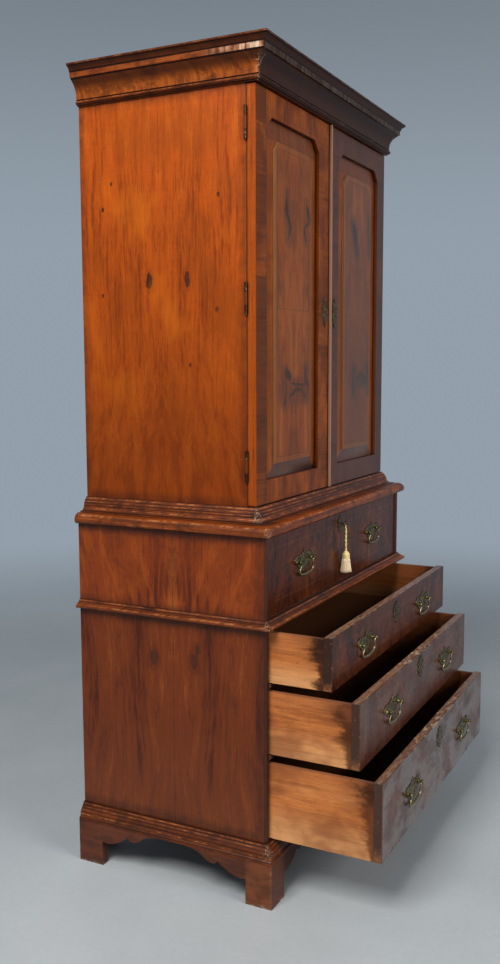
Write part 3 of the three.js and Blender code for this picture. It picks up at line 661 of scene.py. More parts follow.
def door_frame_wood(name, side):
    n = Net(name)
    u = n.x * side                    # grows from the meeting edge outwards
    stile = n.hi(n.step(u, 0.3878, 0.3882), n.step(u, 0.0702, 0.0698))
    seed = 41.0 if side < 0 else 47.0
    cross, value, pores = grain(n, n.z, n.x, seed, STILE_TONES, 0.02, 20, 120)
    rails = grain(n, n.x, n.z, seed + 2, STILE_TONES, 0.02, 20, 120)[0]
    n.colour = n.mix(stile, rails, cross)
    blotch = n.noise((n.x * 16, n.z * 9, seed + 5), 4, 0.65)
    n.lay(n.step(blotch, 0.47, 0.62) * 0.55, (0.06, 0.012, 0.003))
    n.lay(n.step(blotch, 0.47, 0.34) * 0.5, (0.34, 0.07, 0.004))
    # the outer band is laid in blocks, some of them darker
    block = n.noise((0.0, n.math("SNAP", n.z, 0.117), seed), 1, 0.5, 6.0)
    band = n.step(u, 0.3909, 0.3913) * n.step(u, 0.4466, 0.4462)
    n.lay(band * n.pick(n.step(block, 0.45, 0.51), 0.22, 0.92), n.mix(0.65, cross, (0.045, 0.012, 0.004)))
    joint = n.line(u, 0.391, 0.0016, 0.0006)
    n.lay(joint * 0.5, (0.02, 0.006, 0.003))
    # the outer edge of the door is warm plain wood, the meeting bead is worn pale
    # painted shade: the right door's frame, the same walnut as the left's, is darkened all over
    if side > 0:
        n.lay(0.7, (0.034, 0.015, 0.011))
    edge = n.step(u, 0.4462, 0.4466)
    warm = grain(n, n.y, n.z, seed + 4, SIDE, 0.01, 60, 300)[0]
    warm = n.mix(n.step(n.y, DOOR_Y + 0.0195, DOOR_Y + 0.0225) * 0.85, warm, (0.03, 0.01, 0.004))
    warm = n.mix(0.25, warm, (0.1, 0.03, 0.01))
    n.lay(edge * 0.9, warm)
    inside = n.step(n.y, DOOR_Y + 0.001, DOOR_Y + 0.002) * n.step(u, 0.4, 0.395)
    n.lay(inside * 0.7, warm)
    # painted shade in the corners and under the edges
    n.lay(n.crevice(0.022) * 0.8, (0.018, 0.007, 0.004))
    # painted shade in the groove by the meeting edge
    groove = n.step(abs(u - (0.0022 if side < 0 else 0.0125)), 0.003, 0.0012)
    n.lay(groove * 0.85, (0.01, 0.005, 0.004))
    bead = n.step(n.y, DOOR_Y - 0.0008, DOOR_Y - 0.0014) * n.step(u, 0.011, 0.0102)
    pale = n.cloud(30, 30, 6, 3, 0.6)
    n.lay(bead * n.pick(pale, 0.5, 0.9), (0.4, 0.2, 0.13))
    scratch(n, 0.3)
    return polish(n, value, pores, 0.32, 0.0, 0.14, level=0.1 if side < 0 else 0.24)


def stroke(n, point, chain):
    """A soft stroke along a chain of (across, up, half width) in mm: 1 in its middle."""
    best = None
    for (ax, az, aw), (bx, bz, bw) in zip(chain, chain[1:]):
        a, d = Vector((ax, az, 0)) * mm, Vector((bx - ax, bz - az, 0)) * mm
        rel = n.vector("SUBTRACT", point, a).outputs[0]
        t = n.math("ADD", Value(n, n.vector("DOT_PRODUCT", rel, d / d.length_squared).outputs["Value"]),
                   0.0, clamp=True)
        way = n.new("VectorMath")
        way.operation = "SCALE"
        way.inputs[0].default_value = d
        n.put(way.inputs["Scale"], t)
        gap = n.vector("DISTANCE", rel, way.outputs[0])
        m = n.step(Value(n, gap.outputs["Value"]) / n.pick(t, aw * mm, bw * mm), 2.3, 0.8)
        best = m if best is None else n.hi(best, m)
    return best


# smoke marks in the veneer of the doors: chains of (across, up, half width) in mm
LEFT_MARKS = [
    [(-271, 1726, 2), (-273, 1695, 7), (-272, 1684, 5), (-254.6, 1669, 3),
     (-250, 1652, 4.5), (-262, 1626, 2)],
    [(-150, 1722, 2), (-139, 1704, 6), (-126.5, 1686, 7), (-135, 1677, 2.5),
     (-158, 1666, 2), (-163, 1651, 3.5), (-152, 1632, 2.5)],
    [(-272, 1293, 8), (-250, 1282, 6)],
    [(-277, 1275, 2), (-272, 1245, 1.8), (-280, 1215, 4)],
    [(-250, 1231, 3), (-213, 1250, 3), (-175, 1249, 3), (-155, 1229, 3)],
    [(-236, 1265, 2), (-196, 1262, 2), (-168, 1261, 3)],
    [(-150, 1300, 3), (-152, 1272, 5.5), (-132, 1258, 3), (-121, 1236, 2.5),
     (-112, 1214, 4.5)],
]
RIGHT_MARKS = [
    [(187, 1720, 3), (203, 1693, 8), (216, 1663, 5), (221, 1635, 3)],
    [(325, 1735, 3), (336, 1695, 6), (330, 1648, 4)],
    [(205, 1300, 6), (198, 1262, 4), (200, 1236, 3)],
    [(314, 1312, 5), (322, 1280, 6), (333, 1236, 4)],
    [(225, 1268, 6), (262, 1290, 5), (300, 1268, 6)],
]


def door_panel_wood(name, side):
    n = Net(name)
    u = n.x * side
    m = abs(u - 0.227)                # from the middle of the panel outwards
    half, bottom, top, cut = 0.11, 1.07, 1.846, 0.02     # the veneered field, its top corners cut off
    seed = 53.0 if side < 0 else 53.5
    swirl = n.noise((m * 9, n.z * 4, seed), 3, 0.6)
    field, value, pores = grain(n, m + swirl * 0.05, n.z, seed, FIELD_TONES, 0.04, 26, 120)
    wisps = n.noise((m * 42, n.z * 7, seed + 7), 4, 0.65, 1.0, 0.8)
    field = n.mix(n.step(wisps, 0.5, 0.66) * 0.6, field, (0.085, 0.022, 0.006))
    red = n.noise((m * 30, n.z * 3, seed + 8), 3, 0.6)
    field = n.mix(n.step(red, 0.46, 0.62) * 0.45, field, (0.2, 0.036, 0.003))
    wx = n.noise((n.x * 90, n.z * 60, seed + 1), 3, 0.6)
    wz = n.noise((n.x * 90, n.z * 60, seed + 2), 3, 0.6)
    point = n.vec(n.x + (wx - 0.5) * 0.012, n.z + (wz - 0.5) * 0.014, 0.0)
    marks = None
    halo = None
    for chain in LEFT_MARKS if side < 0 else RIGHT_MARKS:
        s = stroke(n, point, chain)
        marks = s if marks is None else n.hi(marks, s)
        wide = stroke(n, point, [(*chain[0][:2], 13), (*chain[-1][:2], 13)])
        halo = wide if halo is None else n.hi(halo, wide)
    field = n.mix(halo * wisps * 0.9, field, (0.06, 0.024, 0.014))
    # on the right door the field is darkened and greyed all over as painted shade and reflection, and more round the
    # smoke stains
    if side > 0:
        field = n.mix((0.34 + halo * 0.4) * n.pick(wisps, 0.8, 1.5), field, (0.05, 0.028, 0.019))
    field = n.mix(marks * n.pick(wx, 0.6, 1.0), field, (0.016, 0.014, 0.013))
    blotch = n.noise((m * 14, n.z * 5, seed + 3), 4, 0.65)
    field = n.mix(n.step(blotch, 0.46, 0.64) * 0.55, field, (0.085, 0.026, 0.008))
    field = n.mix(n.step(blotch, 0.46, 0.32) * 0.4, field, (0.29, 0.078, 0.014))
    fine = n.noise((m * 160, n.z * 11, seed + 6), 3, 0.65)
    field = n.mix(n.step(fine, 0.5, 0.66) * 0.45, field, (0.075, 0.024, 0.009))
    # veneer joint across the field at half height, and the feather band round it
    across = n.line(n.z, 1.452, 0.0012, 0.0004)
    field = n.mix(across * 0.5, field, (0.05, 0.015, 0.006))
    d = n.lo(half - m, n.lo(n.z - bottom, top - n.z))
    d = n.lo(d, (half - m + (top - n.z) - cut) * sqrt(0.5))
    band = n.step(d, 0.0132, 0.0126)
    slant = n.math("SINE", (n.z + m * 1.0) * 1500)
    herring = n.ramp(0.5 + slant * 0.2,
                     tones((0.12, 0.032, 0.007), (0.26, 0.075, 0.015), (0.38, 0.13, 0.03)))
    n.colour = n.mix(band * 0.35, field, herring)
    for at, k in ((0.013, 0.5), (0.0065, 0.25)):
        line = n.line(d, at, 0.0013, 0.0005)
        n.lay(line * k, (0.03, 0.01, 0.004))
    bevel = n.step(d, -0.0005, -0.0015)
    red_brown = tones((0.085, 0.018, 0.003), (0.19, 0.045, 0.006), (0.3, 0.085, 0.013))
    slope = grain(n, n.x, n.z, seed + 3, red_brown, 0.02, 40, 150)[0]
    blocks = n.noise((0.0, n.z * 9, seed), 2, 0.5)
    slope = n.mix(n.step(blocks, 0.5, 0.62) * 0.5, slope, (0.13, 0.025, 0.004))
    n.lay(bevel, slope)
    # painted shadow cast by the top rail over the upper bevel
    upper = n.step(n.z, 1.8465, 1.848)
    n.lay(upper * 0.35, (0.05, 0.016, 0.006))
    # painted shade in the corners of the recess and under the edges
    n.lay(n.crevice(0.022) * 0.85, (0.014, 0.006, 0.004))
    lower = bevel * (n.step(n.z, 1.0695, 1.0685) * n.step(m - (1.07 - n.z), 0.111, 0.11))
    n.lay(lower * 0.75, (0.06, 0.04, 0.036))
    # painted highlight along the edge of the field's step, strongest along the left door's outer edge
    step_edge = n.step(abs(d + 0.0008), 0.0018, 0.0006)
    n.lay(step_edge * n.pick(n.step(u if side < 0 else m, 0.3, 0.335), 0.16, 0.38), (0.48, 0.26, 0.13))
    return polish(n, value, pores, 0.3, 0.0, 0.12, level=0.16 if side < 0 else 0.32)


def lining_wood(name, low, high, face, sooty=0.85):
    """Drawer sides and bottom: dry pale wood, darkened by hands and dirt behind the front."""
    n = Net(name)
    upright = n.step(abs(n.nz), 0.7, 0.3)
    n.colour, value, pores = grain(n, n.pick(upright, n.x, n.z), n.y, low * 40, LINING_TONES, 0.02, 22, 150)
    lift = n.step(n.z, low + (high - low) * 0.55, low + 0.004)
    n.lay(lift * 0.5, (0.72, 0.41, 0.18))
    topdark = n.step(n.z, high - (high - low) * 0.5, high)
    n.lay(topdark * 0.3, (0.22, 0.075, 0.03))
    patch = n.noise((1.0, n.y * 9, n.z * 26), 5, 0.72)
    reach = n.hi(0.01, (patch - 0.3) * 0.11)
    reach = reach * n.pick(n.step(n.z, low, high), 0.7, 1.5)
    far = n.y - (face + 0.022)
    ratio = far / reach
    tail = n.step(far, 0.12, 0.0) * n.step(n.z, high - (high - low) * 0.8, high)
    n.lay(tail * 0.7, (0.085, 0.028, 0.012))
    soot = n.mix(1.0, n.colour, (0.2, 0.17, 0.17), "MULTIPLY")
    n.lay(n.step(ratio, 1.9, 0.3) * 0.85, soot)
    speck = n.noise((3.0, n.y * 60, n.z * 150), 4, 0.7)
    blot = n.step(ratio + (speck - 0.5) * 1.8, 1.25, 0.35)
    n.lay(blot * sooty, (0.026, 0.009, 0.005))
    belly = n.noise((2.0, n.y * 4, n.z * 60), 4, 0.65)
    n.lay(n.step(belly, 0.5, 0.64) * 0.28, (0.16, 0.052, 0.018))
    worked = n.noise((4.0, n.y * 5, n.z * 9), 3, 0.6)
    n.lay(n.step(worked, 0.42, 0.62) * (0.12 if low > 0.5 else 0.65), (0.2, 0.056, 0.021))
    # painted shade: the inside of the drawer is darkened
    inside = n.step(abs(n.x), 0.455, 0.4535)
    n.lay(inside * 0.8, n.mix(0.5, n.colour, (0.1, 0.032, 0.014), "MULTIPLY"))
    n.lay(inside * 0.82, (0.05, 0.012, 0.004))
    topedge = n.step(n.z, high - 0.0055, high - 0.0045)
    n.lay(topedge * 0.45, (0.13, 0.06, 0.035))
    spots = n.cloud(60, 60, 60, 3, 0.6)
    n.lay(n.step(spots, 0.64, 0.72) * 0.35, (0.1, 0.04, 0.02))
    n.set(Base_Color=n.colour, Roughness=0.62 + value * 0.2)
    n.set(Specular_IOR_Level=0.1)
    n.bump(value * 0.6 + pores * -0.4, 0.0004, 0.6)
    return n.mat


def inner_wood():
    n = Net("inner_boards")
    flat = n.step(abs(n.nz), 0.5, 0.9)
    upright = n.step(abs(n.ny), 0.5, 0.9)
    u = n.pick(upright, n.y, n.x)
    g = n.pick(upright, n.x, n.z)
    n.colour, value, pores = grain(n, u, g, 71.0, INNER_TONES, 0.02, 14, 100)
    dust = n.cloud(6, 6, 6, 4, 0.6)
    n.lay(n.step(dust, 0.45, 0.7) * 0.18, (0.22, 0.17, 0.13))
    n.set(Base_Color=n.colour, Roughness=0.6 + dust * 0.2)
    n.bump(value * 0.6 + pores * -0.4, 0.0004, 0.6)
    return n.mat


def brass(name="aged_brass", tarnish=0.0):
    n = Net(name)
    p = (n.x, n.y, n.z)
    big = n.noise(p, 4, 0.6, 120)
    fine = n.noise(p, 3, 0.6, 700)
    n.colour = n.ramp(big * 0.7 + fine * 0.3, [
        (0.34, (0.02, 0.016, 0.008)), (0.47, (0.085, 0.068, 0.026)), (0.57, (0.22, 0.18, 0.075)),
        (0.7, (0.5, 0.43, 0.22))])
    if tarnish < 0:
        n.lay(0.45, (0.5, 0.42, 0.23))
    elif tarnish:
        n.lay(n.step(big, 0.8, 0.55) * tarnish, (0.05, 0.02, 0.008))
    rough = 0.28 + big * 0.28
    n.set(Base_Color=n.colour, Roughness=rough)
    n.set(Metallic=0.92)
    n.bump(big * 0.6 + fine * 0.4, 0.0004, 0.6)
    return n.mat


def steel():
    n = Net("key_steel")
    p = (n.x, n.y, n.z)
    big = n.noise(p, 4, 0.6, 300)
    n.colour = n.ramp(big, [(0.3, (0.06, 0.05, 0.04)), (0.6, (0.34, 0.3, 0.24)), (0.8, (0.5, 0.46, 0.38))])
    n.set(Base_Color=n.colour, Roughness=0.3 + big * 0.25)
    n.set(Metallic=1.0)
    n.bump(big, 0.0003, 0.5)
    return n.mat


def silk(name, base, dark, scale=1.0):
    n = Net(name)
    a = n.math("ARCTAN2", n.y - KEY.y, n.x)
    thread = n.noise((a * (14 * scale), 0.0, n.z * 25), 2, 0.6)
    cloud = n.cloud(60, 60, 60, 2, 0.5)
    n.colour = n.mix(n.step(thread, 0.35, 0.65), dark, base)
    n.lay(cloud * 0.25, shade(base, 0.75))
    n.set(Base_Color=n.colour, Roughness=0.55 + thread * 0.2)
    n.set(Sheen_Weight=0.35)
    n.bump(thread, 0.0004, 0.6)
    return n.mat


M = {
    "cabinet_side": cabinet_side(), "lower_side": lower_side(), "foot": foot_wood(), "inner": inner_wood(),
    "cornice": moulding_wood("cornice_walnut", CABINET, BACK - 0.4998, 1.956,
                             ((1957.5, 1.6), (1961.5, 1.0), (1969.5, 2.2), (2016.5, 1.8),
                              (2031.8, 2.2), (2044.0, 1.4)), ((1966.0, 1.2), (2047.5, 1.0))),
    "waist_moulding": moulding_wood("waist_walnut", CABINET, DOOR_Y, 0.935,
                           ((972.8, 1.4), (964.8, 1.1), (956.8, 1.1), (950.2, 0.9), (938.5, 1.6)),
                           ((969.0, 2.0), (960.8, 1.2), (953.6, 1.0), (944.0, 1.6)), 1.15),
    "secretaire_top_board": moulding_wood("table_walnut", CHEST, CHEST_FRONT, 0.908,
                           ((909.0, 1.6),), ((930.0, 3.0),), 1.35),
    "mid_moulding": moulding_wood("mid_walnut", CHEST, CHEST_FRONT, 0.6865,
                         ((707.8, 1.4), (701.5, 1.1), (687.2, 1.0)), ((704.5, 1.2), (695.0, 2.0)), 1.2),
    "base_moulding": moulding_wood("base_walnut", CHEST, CHEST_FRONT, 0.112,
                          ((153.2, 1.4), (146.5, 1.2), (139.5, 1.1), (132.0, 1.1), (117.5, 1.4)),
                          ((150.0, 1.4), (143.0, 1.0), (126.0, 2.4)), 0.85),
    "fall_board": front_wood("fall_walnut", FALL_LOW, FALL_HIGH, 61.0, FALL_Y, 0.0, 0.0, 0.0, 0.18),
    "left_door_frame": door_frame_wood("left_door_walnut", -1.0),
    "right_door_frame": door_frame_wood("right_door_walnut", 1.0),
    "left_door_panel": door_panel_wood("left_panel_walnut", -1.0),
    "right_door_panel": door_panel_wood("right_panel_walnut", 1.0),
    "brass": brass(), "bail": brass("bail_brass", -1.0), "escutcheon": brass("escutcheon_brass", 0.35),
    "hinge": brass("hinge_brass", 1.0), "key": steel(),
    "cord": silk("cord_silk", (0.98, 0.8, 0.34), (0.62, 0.44, 0.13), 1.0),
    "skirt": silk("tassel_silk", (1.0, 0.83, 0.57), (0.74, 0.52, 0.29), 3.0),
    "secretaire_box": lining_wood("secretaire_lining", FALL_LOW, 0.898, FALL_Y),
}
# seed, chipping, painted sheen, wax and gloss of each drawer's front: the lower, the more worn
FRONTS = {"drawer_1": (63.0, 0.0, 0.0, 0.0, 0.22), "drawer_2": (65.0, 0.9, 0.1, 0.14, 0.3),
          "drawer_3": (67.0, 0.9, 0.15, 0.35, 0.4)}
for _name, (_low, _high, _face, _hz, _kz) in DRAWERS.items():
    _seed, *_wear = FRONTS[_name]
    M[_name + "_front"] = front_wood(_name + "_walnut", _low, _high, _seed, _face, *_wear)
    M[_name + "_box"] = lining_wood(_name + "_lining", _low, _high, _face, 0.9 if _low > 0.5 else 0.5)


# ---- CAD nodes: materials and softened edges
def material_of(node):
    """A node wears the material of its own name, or else that of the family it belongs to."""
    if node in M:
        return M[node]
    for word, key in (("cabinet_left_side", "cabinet_side"), ("cabinet_right_side", "cabinet_side"),
                      ("lower_left_side", "lower_side"), ("lower_right_side", "lower_side"),
                      ("foot_", "foot"), ("hinge", "hinge"), ("bail", "brass"), ("plate", "brass")):
        if word in node:
            return M[key]
    return M["inner"]


SOFT = {"cornice": 0.0007, "waist_moulding": 0.0006, "mid_moulding": 0.0005, "base_moulding": 0.0006,
        "secretaire_top_board": 0.0006, "key": 0.0004}


def soften(o, width, angle=38):
    mesh = o.data
    if "custom_normal" in mesh.attributes:
        mesh.attributes.remove(mesh.attributes["custom_normal"])
    mesh.polygons.foreach_set("use_smooth", [True] * len(mesh.polygons))
    weld = o.modifiers.new("weld", "WELD")
    weld.merge_threshold = 0.00001
    bev = o.modifiers.new("edge", "BEVEL")
    bev.width = width
    bev.segments = 2
    bev.limit_method = "ANGLE"
    bev.angle_limit = radians(angle)
    bev.harden_normals = True
    bev.use_clamp_overlap = True


for node, obj in frame["nodes"].items():
    obj.data.materials.clear()
    obj.data.materials.append(material_of(node))
    if node.startswith("tassel"):
        continue
    soften(obj, 0.0005 if "hinge" in node else SOFT.get(node, 0.0011))


# ---- mesh helpers
def finish_piece(name, bm, mat, smooth=True):
    mesh = bpy.data.meshes.new(name)
    bmesh.ops.recalc_face_normals(bm, faces=bm.faces)
    bm.to_mesh(mesh)
    bm.free()
    mesh.materials.append(mat)
    if smooth:
        mesh.polygons.foreach_set("use_smooth", [True] * len(mesh.polygons))
    o = bpy.data.objects.new(name, mesh)
    scene.collection.objects.link(o)
    return o


def sweep(bm, points, radii, sides):
    """Tube through points with a radius at each; the ends are capped."""
    pts = [Vector(p) for p in points]
    rings = []
    normal = Vector((0, 1, 0))
    for i, p in enumerate(pts):
        a = pts[max(i - 1, 0)]
        b = pts[min(i + 1, len(pts) - 1)]
        tangent = (b - a).normalized()
        if abs(tangent.dot(normal)) > 0.95:
            normal = Vector((1, 0, 0))
        side = tangent.cross(normal).normalized()
        normal = side.cross(tangent).normalized()
        turns = [2 * pi * k / sides for k in range(sides)]
        spokes = [side * cos(t) + normal * sin(t) for t in turns]
        rings.append([bm.verts.new(p + spoke * radii[i]) for spoke in spokes])
    for r0, r1 in zip(rings, rings[1:]):
        for k in range(sides):
            bm.faces.new((r0[k], r0[(k + 1) % sides], r1[(k + 1) % sides], r1[k]))
    bm.faces.new(list(reversed(rings[0])))
    bm.faces.new(rings[-1])


def lathe(bm, profile, origin, axis, sides=24):
    """Turns (radius, distance along the axis), in mm, about the axis from origin."""
    axis = Vector(axis).normalized()
    ref = Vector((0, 0, 1)) if abs(axis.z) < 0.9 else Vector((1, 0, 0))
    a = axis.cross(ref).normalized()
    b = axis.cross(a)
    rings = []
    for r, h in profile:
        c = Vector(origin) + axis * (h * mm)
        turns = [2 * pi * k / sides for k in range(sides)]
        if r > 0:
            rings.append([bm.verts.new(c + (a * cos(t) + b * sin(t)) * (r * mm)) for t in turns])
        else:
            rings.append([bm.verts.new(c)])
    for r0, r1 in zip(rings, rings[1:]):
        for k in range(sides):
            k2 = (k + 1) % sides
            if len(r0) == 1:
                bm.faces.new((r0[0], r1[k2], r1[k]))
            elif len(r1) == 1:
                bm.faces.new((r0[k], r0[k2], r1[0]))
            else:
                bm.faces.new((r0[k], r0[k2], r1[k2], r1[k]))


def spline(points, steps=8):
    """Catmull-Rom through the points."""
    pts = [Vector(p) for p in points]
    ext = [pts[0] * 2 - pts[1]] + pts + [pts[-1] * 2 - pts[-2]]
    out = []
    for i in range(1, len(ext) - 2):
        p0, p1, p2, p3 = ext[i - 1:i + 3]
        for s in range(steps):
            t = s / steps
            out.append(0.5 * ((2 * p1) + (p2 - p0) * t + (2 * p0 - 5 * p1 + 4 * p2 - p3) * t * t
                              + (3 * p1 - p0 - 3 * p2 + p3) * t ** 3))
    out.append(pts[-1])
    return out


def sheet_metal(name, outline, holes, at, face, thick, mat, bevel=0.0004):
    """A flat pierced plate on a face, cut from (x, z) outlines in mm about the point at."""
    curve = bpy.data.curves.new(name, "CURVE")
    curve.dimensions = "2D"
    curve.fill_mode = "BOTH"
    curve.extrude = thick / 2 - bevel
    curve.bevel_depth = bevel
    curve.bevel_resolution = 1
    curve.offset = -bevel
    for loop in [outline, *holes]:
        s = curve.splines.new("POLY")
        s.points.add(len(loop) - 1)
        for p, (x, z) in zip(s.points, loop):
            p.co = (x * mm, z * mm, 0, 1)
        s.use_cyclic_u = True
    tmp = bpy.data.objects.new(name + "_curve", curve)
    scene.collection.objects.link(tmp)
    deps = bpy.context.evaluated_depsgraph_get()
    mesh = bpy.data.meshes.new_from_object(tmp.evaluated_get(deps))
    bpy.data.objects.remove(tmp)
    turn = Matrix.Rotation(pi / 2, 4, "X")
    mesh.transform(Matrix.Translation((at[0], face - FILM - thick / 2, at[1])) @ turn)
    mesh.materials.clear()
    mesh.materials.append(mat)
    mesh.name = name
    o = bpy.data.objects.new(name, mesh)
    scene.collection.objects.link(o)
    return o


def mirrored(points):
    """Closes a right half outline, listed from the top to the bottom, with its mirror image."""
    return points + [(-x, z) for x, z in reversed(points[1:-1])]


def smoothed(points, steps):
    """An outline of (x, z) points made round."""
    return [(p.x, p.z) for p in spline([(x, 0, z) for x, z in points], steps)]


def ellipse(cx, cz, rx, rz, count=14, turn=0.0):
    out = []
    for k in range(count):
        t = 2 * pi * k / count
        x, z = rx * cos(t), rz * sin(t)
        out.append((cx + x * cos(turn) - z * sin(turn),
                    cz + x * sin(turn) + z * cos(turn)))
    return out


# ---- handles
# right half of a backplate's outline, in mm from its middle
PLATE = [(0, 30), (3, 26.5), (5.5, 22.5), (10.5, 21.5), (13.5, 18), (17, 15), (21, 18.5), (27, 17.5),
         (33, 14.5), (38, 15.5), (44, 18.5), (50, 16.5), (56, 13), (60, 9), (62.5, 3), (59, -1.5),
         (54, -4.5), (48, -5.5), (42, -7.5), (37, -11), (35, -16), (30, -18), (24, -16.5), (20, -19),
         (17, -23.5), (12, -25), (8, -26.5), (4, -31), (0, -36)]


# radius and distance from the plate of a handle's post, in mm
POST = [(0, 0), (6.6, 0), (7.2, 0.9), (6.2, 1.9), (4.2, 2.6), (3.3, 4.2), (3.1, 6.2), (4.4, 7.6),
        (5.3, 9.6), (5.3, 11.4), (4.5, 13.1), (2.8, 14.3), (0, 14.7)]


def plate_holes():
    holes = []
    for s in (-1, 1):
        holes.append(ellipse(s * 9.5, 9, 1.9, 4.0, 14, s * 0.5))
        holes.append(ellipse(s * 24, 6, 3.8, 2.0, 14, s * 0.35))
        holes.append(ellipse(s * 13, -11, 1.9, 3.8, 14, -s * 0.55))
        holes.append(ellipse(s * 27, -8, 3.2, 1.9, 14, -s * 0.4))
    return holes


def handle(prefix, body, bail_body, cx, cz, face):
    flat = sheet_metal(prefix + "_backplate", mirrored(PLATE), plate_holes(), (cx, cz), face, 0.0014,
                       M["brass"])
    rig.ride(flat, body)
    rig.slot(flat, "aged_brass")
    bm = bmesh.new()
    for s in (-1, 1):
        x = cx + s * POST_SPAN / 2
        lathe(bm, POST, (x, face - 0.0012, cz), (0, -1, 0), 20)
        lathe(bm, [(0, 0), (1.5, 0), (1.5, 1.0), (0, 1.4)], (x, face - 0.0012, cz), (0, -1, 0), 8)
    posts = finish_piece(prefix + "_posts", bm, M["brass"])
    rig.ride(posts, body)
    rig.slot(posts, "aged_brass")
    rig.replaces(posts, prefix + "_handle_plate")
    # swan-neck bail: slim necks, heavier grip
    y = face - POST_REACH + 0.0045
    half = [(46, 0), (41.5, -0.4), (37.6, -3.2), (36.6, -9), (39.4, -14.5), (42.6, -20.5), (41.0, -27.5),
            (34.0, -32.5), (22.0, -33.8), (10, -35.2), (0, -36.0)]
    pts = [(-x, z) for x, z in half] + half[-2::-1]
    line = spline([(cx + x * mm, y + 4.5 * mm * min(1, max(0, -z / 30)), cz + z * mm) for x, z in pts], 4)
    radii = []
    for p in line:
        drop = (cz - p.z) / (36 * mm)
        r = 1.75 + 1.35 * max(0, min(1, (drop - 0.25) / 0.6))
        mid = abs(p.x - cx) / mm
        r += 0.75 * exp(-(mid / 11) ** 2)
        r += 0.5 * exp(-((mid - 15) / 1.3) ** 2)
        radii.append(r * mm)
    bm = bmesh.new()
    sweep(bm, line, radii, 10)
    bail = finish_piece(prefix + "_grip", bm, M["bail"])
    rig.ride(bail, bail_body)
    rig.slot(bail, "aged_brass")
    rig.replaces(bail, prefix + "_bail")


for _side, _s in (("left", -1), ("right", 1)):
    handle("fall_" + _side, "secretaire_fall", "fall_%s_handle" % _side, _s * 0.255, 0.815, FALL_Y)
    for _name, (_low, _high, _face, _hz, _kz) in DRAWERS.items():
        handle("%s_%s" % (_name, _side), _name, "%s_%s_handle" % (_name, _side), _s * 0.24, _hz, _face)

# ---- escutcheons
# right half of a cast escutcheon, in parts of its half width and half height
CAST = [(0, 1.0), (0.1, 0.9), (0.22, 0.84), (0.42, 0.86), (0.58, 0.74), (0.5, 0.62), (0.62, 0.5),
        (0.86, 0.46), (1.0, 0.3), (0.86, 0.16), (0.72, 0.04), (0.86, -0.1), (0.96, -0.26), (0.82, -0.38),
        (0.58, -0.38), (0.5, -0.52), (0.6, -0.68), (0.44, -0.78), (0.22, -0.76), (0.1, -0.86), (0, -1.0)]


def escutcheon(name, body, x, z, width, height, face, pierced=False):
    """A cast plate round a keyhole, width and height in mm."""
    w, h = width / 2, height / 2
    outline = mirrored(smoothed([(a * w, b * h) for a, b in CAST], 2))
    ring = ellipse(0, 2, 3, 3, 24)
    start = min(range(24), key=lambda k: ring[k][1])
    hole = ring[start + 2:] + ring[:start - 1] + [(-1.3, -9), (1.3, -9)]
    holes = [hole]
    for s in (-1, 1):
        holes.append(ellipse(s * 0.62 * w, 0.28 * h, 0.13 * w, 0.075 * h, 10))
        holes.append(ellipse(s * 0.6 * w, -0.22 * h, 0.12 * w, 0.07 * h, 10))
        if pierced:
            holes.append(ellipse(s * 0.28 * w, 0.66 * h, 0.12 * w, 0.09 * h, 10, s * 0.4))
            holes.append(ellipse(s * 0.28 * w, -0.6 * h, 0.12 * w, 0.09 * h, 10, -s * 0.4))
            holes.append(ellipse(s * 0.36 * w, 0.4 * h, 0.1 * w, 0.08 * h, 10))
    o = sheet_metal(name, outline, holes, (x, z), face, 0.0015, M["escutcheon"])
    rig.ride(o, body)
    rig.slot(o, "aged_brass")
    bm = bmesh.new()
    for dz in (0.86, -0.84) if pierced else (0.66, -0.66):
        at = (x, face - 0.0014, z + dz * h * mm)
        lathe(bm, [(0, 0), (1.7, 0), (1.5, 0.6), (0.7, 1.1), (0, 1.2)], at, (0, -1, 0), 10)
    pins = finish_piece(name + "_pins", bm, M["escutcheon"])
    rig.ride(pins, body)
    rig.slot(pins, "aged_brass")


escutcheon("left_door_escutcheon", "left_door", -0.028, 1.4545, 33, 83, DOOR_Y, True)
escutcheon("right_door_escutcheon", "right_door", 0.042, 1.4545, 33, 83, DOOR_Y, True)
escutcheon("fall_escutcheon", "secretaire_fall", 0.0, KEY.z, 44, 52, FALL_Y)
for _name, (_low, _high, _face, _hz, _kz) in DRAWERS.items():
    escutcheon(_name + "_escutcheon", _name, 0.0, _kz, 52, 62, _face)

# ---- key cord and tassel
CORD_TOP, CORD_LOW = KEY.z - 0.0125, 0.7973
TASSEL_TOP, SKIRT_TOP, SKIRT_END = 0.797, 0.7745, 0.7365


def cord():
    path = [(0, KEY.y, CORD_TOP + (CORD_LOW - CORD_TOP) * i / 20) for i in range(21)]
    bm = bmesh.new()
    for phase in (0, pi):
        pts = []
        for i in range(61):
            t = i / 60
            z = CORD_TOP + (CORD_LOW - CORD_TOP) * t
            a = phase + t * pi * 5
            pts.append((1.35 * mm * cos(a), KEY.y + 1.35 * mm * sin(a), z))
        sweep(bm, pts, [1.6 * mm] * len(pts), 8)
    o = finish_piece("key_cord", bm, M["cord"])
    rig.ride(o, "key_tassel")
    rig.slot(o, "tassel_cord")
    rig.replaces(o, "tassel_cord")
    # the cord's eye through the key bow
    bm = bmesh.new()
    eye = []
    for i in range(25):
        a = -pi / 2 + 2 * pi * i / 24
        eye.append((5.0 * mm * cos(a), KEY.y, KEY.z - 0.0085 + 4.4 * mm * sin(a)))
    sweep(bm, eye, [1.2 * mm] * len(eye), 8)
    ring = finish_piece("key_cord_eye", bm, M["cord"])
    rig.ride(ring, "key_tassel")
    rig.slot(ring, "tassel_cord")
    return o, path


